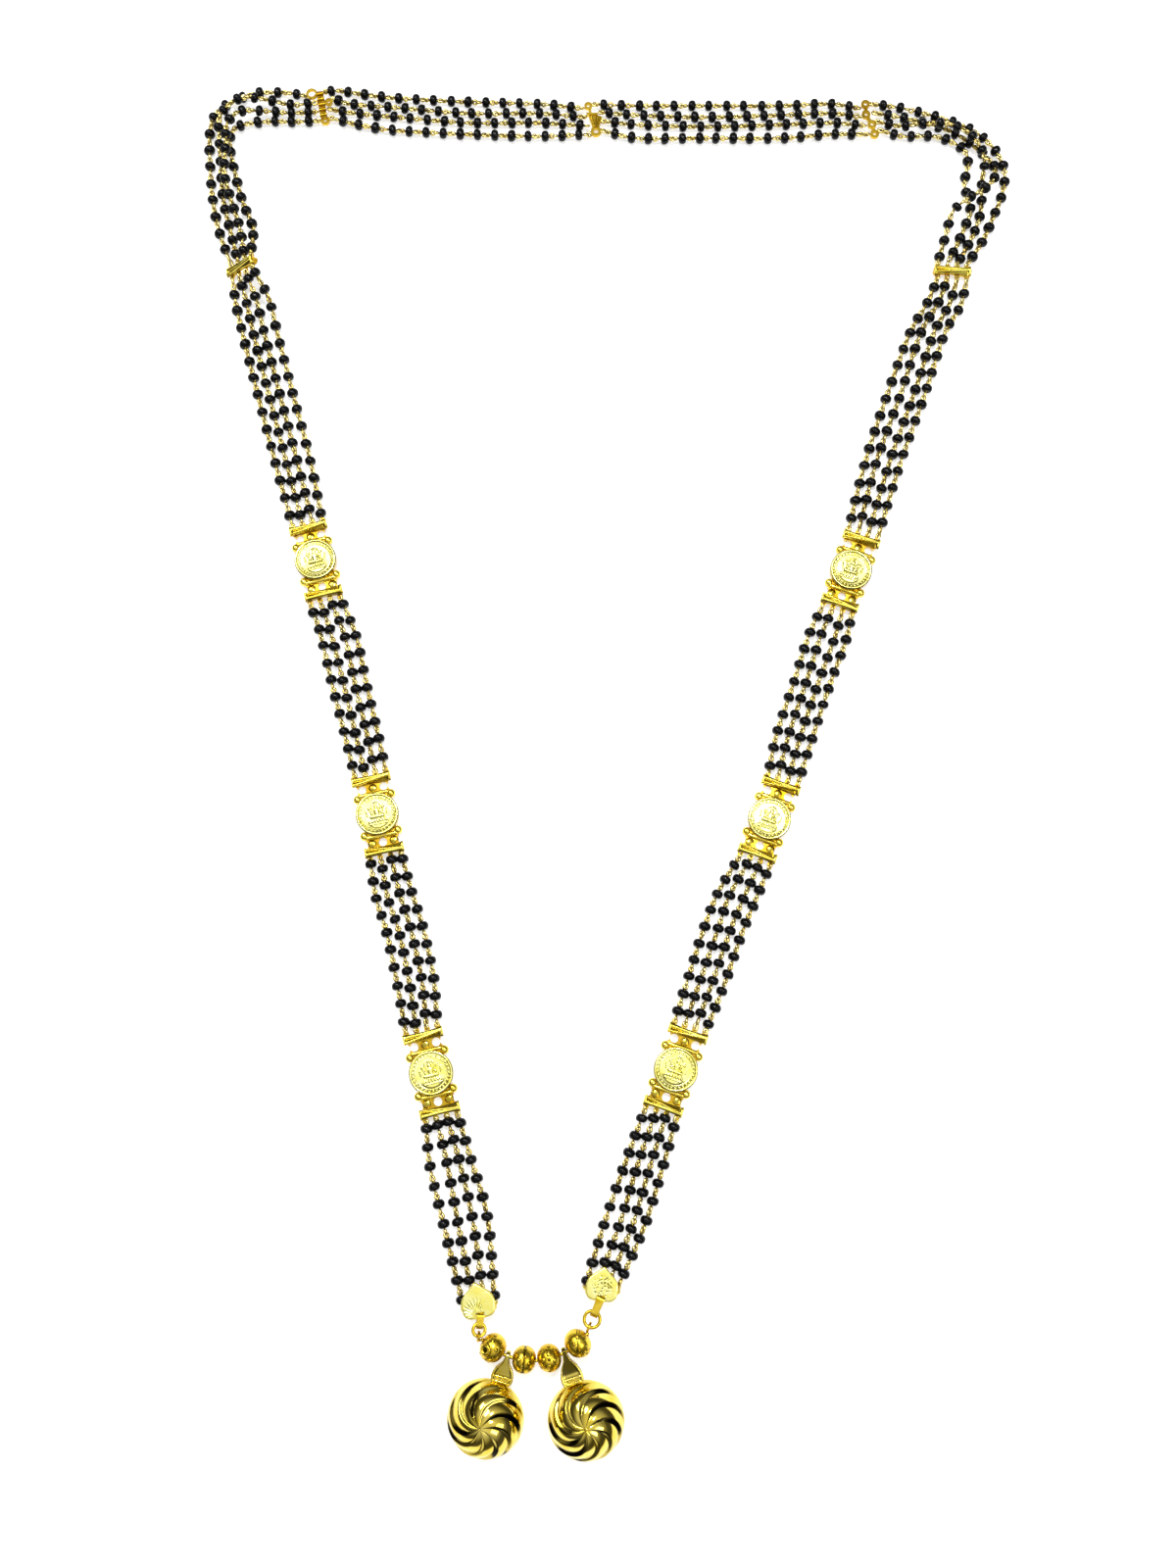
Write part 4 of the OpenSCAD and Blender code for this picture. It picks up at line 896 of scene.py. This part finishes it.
def cup_part(row, dark):
    """A cup lying mouth down with one side raised: outside a dome whose radius and height grow by
    the swirling flutes, inside a plain dome, the two joined at the lip and closed at the crown."""
    steps = 30
    n = FLUTES * steps
    p = np.tile(np.arange(steps) / steps, FLUTES)
    t = np.linspace(0.015, 1, 64)[:, None]
    a = np.radians(np.arange(n) * 360 / n - FLUTE_SWEEP * t ** FLUTE_BEND)
    window = np.clip(t / 0.3, 0, 1) * np.clip((0.93 - t) / 0.24, 0, 1)
    out = FLUTE_H * window * (flute_height(p) - 0.8)
    r = CUP_D / 2
    x = (r + out) * np.sin(t * np.pi / 2) * np.cos(a)
    y = (r + out) * np.sin(t * np.pi / 2) * np.sin(a)
    z = (CUP_H + out) * np.cos(t * np.pi / 2)
    outer = np.stack([x, y, z], -1)
    s = np.linspace(1, 0.03, 20)[:, None]
    b = a[-1]
    inner = np.stack([(r - CUP_WALL) * np.sin(s * np.pi / 2) * np.cos(b),
                      (r - CUP_WALL) * np.sin(s * np.pi / 2) * np.sin(b),
                      (CUP_H - CUP_CROWN) * np.cos(s * np.pi / 2) + 0 * b], -1)
    ends = np.array([[0, 0, CUP_H - 0.02], [0, 0, CUP_H - CUP_CROWN]])
    points = np.vstack([outer.reshape(-1, 3), inner.reshape(-1, 3), ends])
    rings = len(t) + len(s)
    j = np.arange(n)
    last = (rings - 1) * n
    caps = [np.stack([np.full(n, rings * n), j, (j + 1) % n], -1),
            np.stack([np.full(n, rings * n + 1), last + (j + 1) % n, last + j], -1)]
    faces = outward(points, [grid_faces(rings, n, False, True)] + caps)
    # Painted shade and painted reflection in each cleft, darkest where dark reflections lie round the
    # cup
    off_face = np.abs(np.mod(p + 0.5, 1) - 0.5 - FLUTE_RISE * 0.55)
    cleft = np.clip((1 - off_face / (FLUTE_RISE * 0.72)) * 3.5, 0, 1)
    weight = CLEFT_DARK
    for centre, spread in dark:
        off = np.mod(np.degrees(a) + row[5] - centre + 180, 360) - 180
        weight = np.maximum(weight, np.clip(1.6 * np.exp(-(off / spread) ** 2), 0, 1))
    belly = np.clip((t - 0.04) / 0.2, 0, 1) * np.clip((0.9 - t) / 0.12, 0, 1)
    # The inside of the cup gets a little painted shade
    shade = np.concatenate([(cleft * belly * weight * 0.99).reshape(-1),
                            np.full(inner.shape[0] * n + 2, 0.2)])
    placed = turned(turned(turned(points, row[5] - row[3]), -row[2], "y"), row[3])
    lift = CUP_D / 2 * math.sin(math.radians(row[2]))
    return placed + np.array([row[0], row[1], lift]), faces, shade


def bail_part(at, az, reach, darkness):
    """A folded strap round the wire: its section is a teardrop from the wire down to a thin tip,
    its width grows to a shield's, and its front has a raised border and two round ribs across
    it. Its front is darkened as painted reflection, evenly above the foot and in dark bands at
    the foot, and its lining as painted shade."""
    hole = 0.65
    ring = hole + BAIL_T
    turn = np.radians(np.linspace(90, 270, 15))
    down = np.linspace(0, 1, 26)[1:]
    outer_x = np.concatenate([reach * down[::-1], ring * np.cos(turn), reach * down])
    outer_z = np.concatenate([ring + (BAIL_T - ring) * down[::-1], ring * np.sin(turn),
                              -ring - (BAIL_T - ring) * down])
    inner_x = np.concatenate([(reach - 1) * down[::-1], hole * np.cos(turn), (reach - 1) * down])
    inner_z = np.concatenate([hole * (1 - down[::-1]) + 0.05, hole * np.sin(turn),
                              -hole * (1 - down) - 0.05])
    places = [-ring, 0.4, 0.25 * reach, 0.45 * reach, 0.65 * reach, 0.8 * reach, 0.92 * reach,
              reach]
    halves = np.array([0.18, 0.21, 0.34, 0.74, 0.96, 1.0, 0.94, 0.82]) * BAIL_W / 2
    w = np.linspace(-1, 1, 25)

    def shell(x, z, border):
        """The strap's surface at every place round its section and across its width."""
        half = np.interp(x, places, halves)
        lift = border * rounded(np.abs(w)[None, :] - 0.88, 0.15, 1) * (z[:, None] > 0.3)
        return np.stack([x[:, None] + 0 * w, half[:, None] * w, z[:, None] + lift], -1)

    outer, inner = shell(outer_x, outer_z, 0.25), shell(inner_x, inner_z, 0)
    n, m = outer.shape[0], len(w)
    points = np.vstack([outer.reshape(-1, 3), inner.reshape(-1, 3)])
    near = np.arange(n) * m
    far = np.roll(near, -1)
    skin = grid_faces(n, m, True, False)
    lining = skin[:, ::-1] + n * m
    left = np.stack([near, far, n * m + far, n * m + near], -1)
    right = left[:, ::-1] + m - 1
    faces = outward(points, [skin, lining, left, right])
    # Painted reflection on the front, in bands at its foot; painted shade on the lining
    front = (outer[..., 2] > 0.3) * 1.0
    foot = np.clip((outer[..., 0] / reach - 0.62) / 0.05, 0, 1)
    bands = 0.5 + 0.5 * np.cos((outer[..., 0] - reach + 0.2) * 5.2)
    inside = np.clip((0.8 - np.abs(w)[None, :]) / 0.08, 0, 1)
    shade = front * inside * np.clip(darkness * (1 - foot) + 0.9 * foot * bands, 0, 1)
    shade = np.concatenate([shade.reshape(-1), np.full(n * m, 0.5)])
    placed = turned(points, az) + np.array([at[0], at[1], WIRE_Z])
    parts = [(placed, faces, shade)]
    for inset, share in ((0.35, 0.85), (1.3, 0.96)):
        rib, rib_faces = rib_bar(0.3, share * BAIL_W / 2)
        rib = rib + np.array([reach - inset, 0, BAIL_T + 0.1 * inset])
        parts.append((turned(rib, az) + np.array([at[0], at[1], WIRE_Z]), rib_faces, 0.0))
    return parts


def rib_bar(r, half):
    """A round bar along y with rounded ends: its radius is r times the square root of 1 - v^6."""
    v = np.linspace(-0.999, 0.999, 17)
    a = np.linspace(0, 2 * np.pi, 14, endpoint=False)
    radius = r * np.sqrt(1 - v ** 6)
    points = np.stack([radius[:, None] * np.cos(a), half * v[:, None] + 0 * a,
                       radius[:, None] * np.sin(a)], -1).reshape(-1, 3)
    return points, outward(points, capped_faces(len(v), len(a)))


def vati(side, row, bead_a, bead_b, darkness, dark):
    """A cup with its bail on the wire between two gold beads; the bail ends inside the lip."""
    angle = math.radians((BEAD_ANGLES[bead_a] + BEAD_ANGLES[bead_b]) / 2)
    at = WIRE_MID + WIRE_R * np.array([math.cos(angle), math.sin(angle)])
    away = np.array(row[:2]) - at
    lean = math.radians(row[4]) - math.atan2(away[1], away[0])
    far = np.hypot(*away)
    within = CUP_D / 2 - CUP_WALL * 0.7
    reach = far * math.cos(lean) - math.sqrt(within ** 2 - (far * math.sin(lean)) ** 2)
    parts = [cup_part(row, dark)] + bail_part(at, row[4], reach, darkness)
    make_piece(side + "_vati_cup", parts, MIRROR_GOLD, [side + "_vati"])


# Building

for group in ROUTES:
    string_group(group)

for side_name, coins, darkenings in (("left", LEFT_COINS, LEFT_DARKENING), ("right", RIGHT_COINS, RIGHT_DARKENING)):
    for number, (coin_row, coin_darkening) in enumerate(zip(coins, darkenings), 1):
        coin_face("%s_coin_face_%d" % (side_name, number), coin_row, coin_darkening)
        link_trim("%s_link_straps_%d" % (side_name, number), coin_row)
spacer_straps("left_spacer_straps", LEFT_SPACER, LEFT_ROLL)
spacer_straps("right_spacer_straps", RIGHT_SPACER, 0)
heart_face("left_heart_face", LEFT_HEART, 1.0, True)
heart_face("right_heart_face", RIGHT_HEART, 0.955, False)

gold_bead(0, [(RING_SIDE, "ring", 0.9, 0.3)] + ring_of_dots(7, 0.24, 0.14, 46, RING_SIDE)
          + ring_of_dots(11, 0.2, 0.1, 70, RING_SIDE, 12))
gold_bead(1, ring_of_dots(4, 0.3, 0.12, 24, UP, 45) + ring_of_dots(8, 0.3, 0.12, 55, UP, 10),
          [((0.0, 1.0, 0.0), 0.26)])
gold_bead(2, ring_of_dots(4, 0.42, 0.16, 26, UP, 45) + ring_of_dots(8, 0.25, 0.1, 60, UP)
          + [(UP, "pit", 0.4, 0.1)])
gold_bead(3, ring_of_dots(5, 0.22, 0.14, 30, (0, 0.3, 1), 20)
          + [((0.9, 0.1, 0.6), "ring", 0.6, 0.14)],
          [((0.75, 0.66, 0.0), 0.1), ((0.6, 0.8, 0.02), 0.1)])
vati("left", LEFT_CUP, 0, 1, 0.4, LEFT_DARK)
vati("right", RIGHT_CUP, 2, 3, 0.88, RIGHT_DARK)

for node_name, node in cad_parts.items():
    if node.hide_render:
        continue
    finish = DEEP_GOLD
    if node_name.endswith("heart"):
        finish = STRAP_GOLD
    elif node_name.endswith(("heart_link", "jump_ring")):
        finish = BEAD_GOLD
    for material_slot in node.material_slots:
        material_slot.material = finish


# Stage, lights and camera

def floor():
    """A wide white table just under the lowest bead."""
    low = min(corner[2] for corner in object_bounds()) - 0.00002
    half = 1.5
    mesh = bpy.data.meshes.new("table")
    corners = [(-half, -half, low), (half, -half, low), (half, half, low), (-half, half, low)]
    mesh.from_pydata(corners, [], [(0, 1, 2, 3)])
    material, nodes, links, shader = new_material("white_table")
    tone = ramp(nodes, links, noise(nodes, links, 3.0),
                [(0.3, (0.58, 0.58, 0.58)), (0.7, (0.62, 0.62, 0.62))])
    links.new(tone, shader.inputs["Base Color"])
    shader.inputs["Roughness"].default_value = 0.9
    shader.inputs["Specular IOR Level"].default_value = 0.0
    shader.inputs["Emission Color"].default_value = (1, 1, 1, 1)
    shader.inputs["Emission Strength"].default_value = 0.62
    mesh.materials.append(material)
    table = bpy.data.objects.new("table", mesh)
    bpy.context.scene.collection.objects.link(table)
    table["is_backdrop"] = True


def area_light(name, at, towards, size, power):
    """A square soft box of that size in metres, aimed at a point."""
    data = bpy.data.lights.new(name, "AREA")
    data.size = size
    data.energy = power
    light = bpy.data.objects.new(name, data)
    light.location = at
    dx, dy, dz = np.array(towards, float) - np.array(at, float)
    light.rotation_euler = (math.atan2(math.hypot(dx, dy), -dz), 0, math.atan2(-dx, dy))
    bpy.context.scene.collection.objects.link(light)


def surroundings():
    """A plain room by height: bright overhead, dark half way up and grey at the horizon and
    below, so that polished metal shows both light and dark."""
    world = bpy.data.worlds.new("room")
    bpy.context.scene.world = world
    world.use_nodes = True
    nodes, links = world.node_tree.nodes, world.node_tree.links
    place = nodes.new("ShaderNodeTexCoord")
    split = nodes.new("ShaderNodeSeparateXYZ")
    links.new(place.outputs["Generated"], split.inputs["Vector"])
    colour = ramp(nodes, links, split.outputs["Z"],
                  [(0.0, (0.5, 0.5, 0.5)), (0.1, (0.07, 0.065, 0.06)), (0.42, (0.1, 0.095, 0.09)),
                   (0.66, (0.5, 0.5, 0.49)), (0.92, (1.0, 1.0, 1.0))])
    links.new(colour, nodes["Background"].inputs["Color"])
    nodes["Background"].inputs["Strength"].default_value = 0.85


def camera():
    """The photograph's view: 324.6 mm from the drawing's origin, tilted by 11 degrees, with a
    focal length of 1531 of the photograph's 1600 rows."""
    distance, tilt = 324.6, math.radians(11)
    focal_rows, rows, sensor = 1531, 1600, 36
    data = bpy.data.cameras.new("camera")
    data.sensor_fit = "VERTICAL"
    data.sensor_height = sensor
    data.lens = focal_rows / rows * sensor
    data.clip_start = 0.01
    eye = bpy.data.objects.new("camera", data)
    eye.location = row_frame([0, -distance * math.sin(tilt), distance * math.cos(tilt)])
    eye.rotation_euler = (tilt, 0, 0)
    bpy.context.scene.collection.objects.link(eye)
    bpy.context.scene.camera = eye


floor()
surroundings()
area_light("key", (-0.36, 0.32, 0.60), (0, 0, 0), 0.26, 2.6)
area_light("fill", (0.42, -0.20, 0.60), (0, 0, 0), 0.30, 1.4)
area_light("top", (0.02, 0.20, 0.75), (0, 0, 0), 0.06, 3.6)
camera()
# The photograph is a plain bright exposure with a pure white ground
bpy.context.scene.view_settings.view_transform = "Standard"
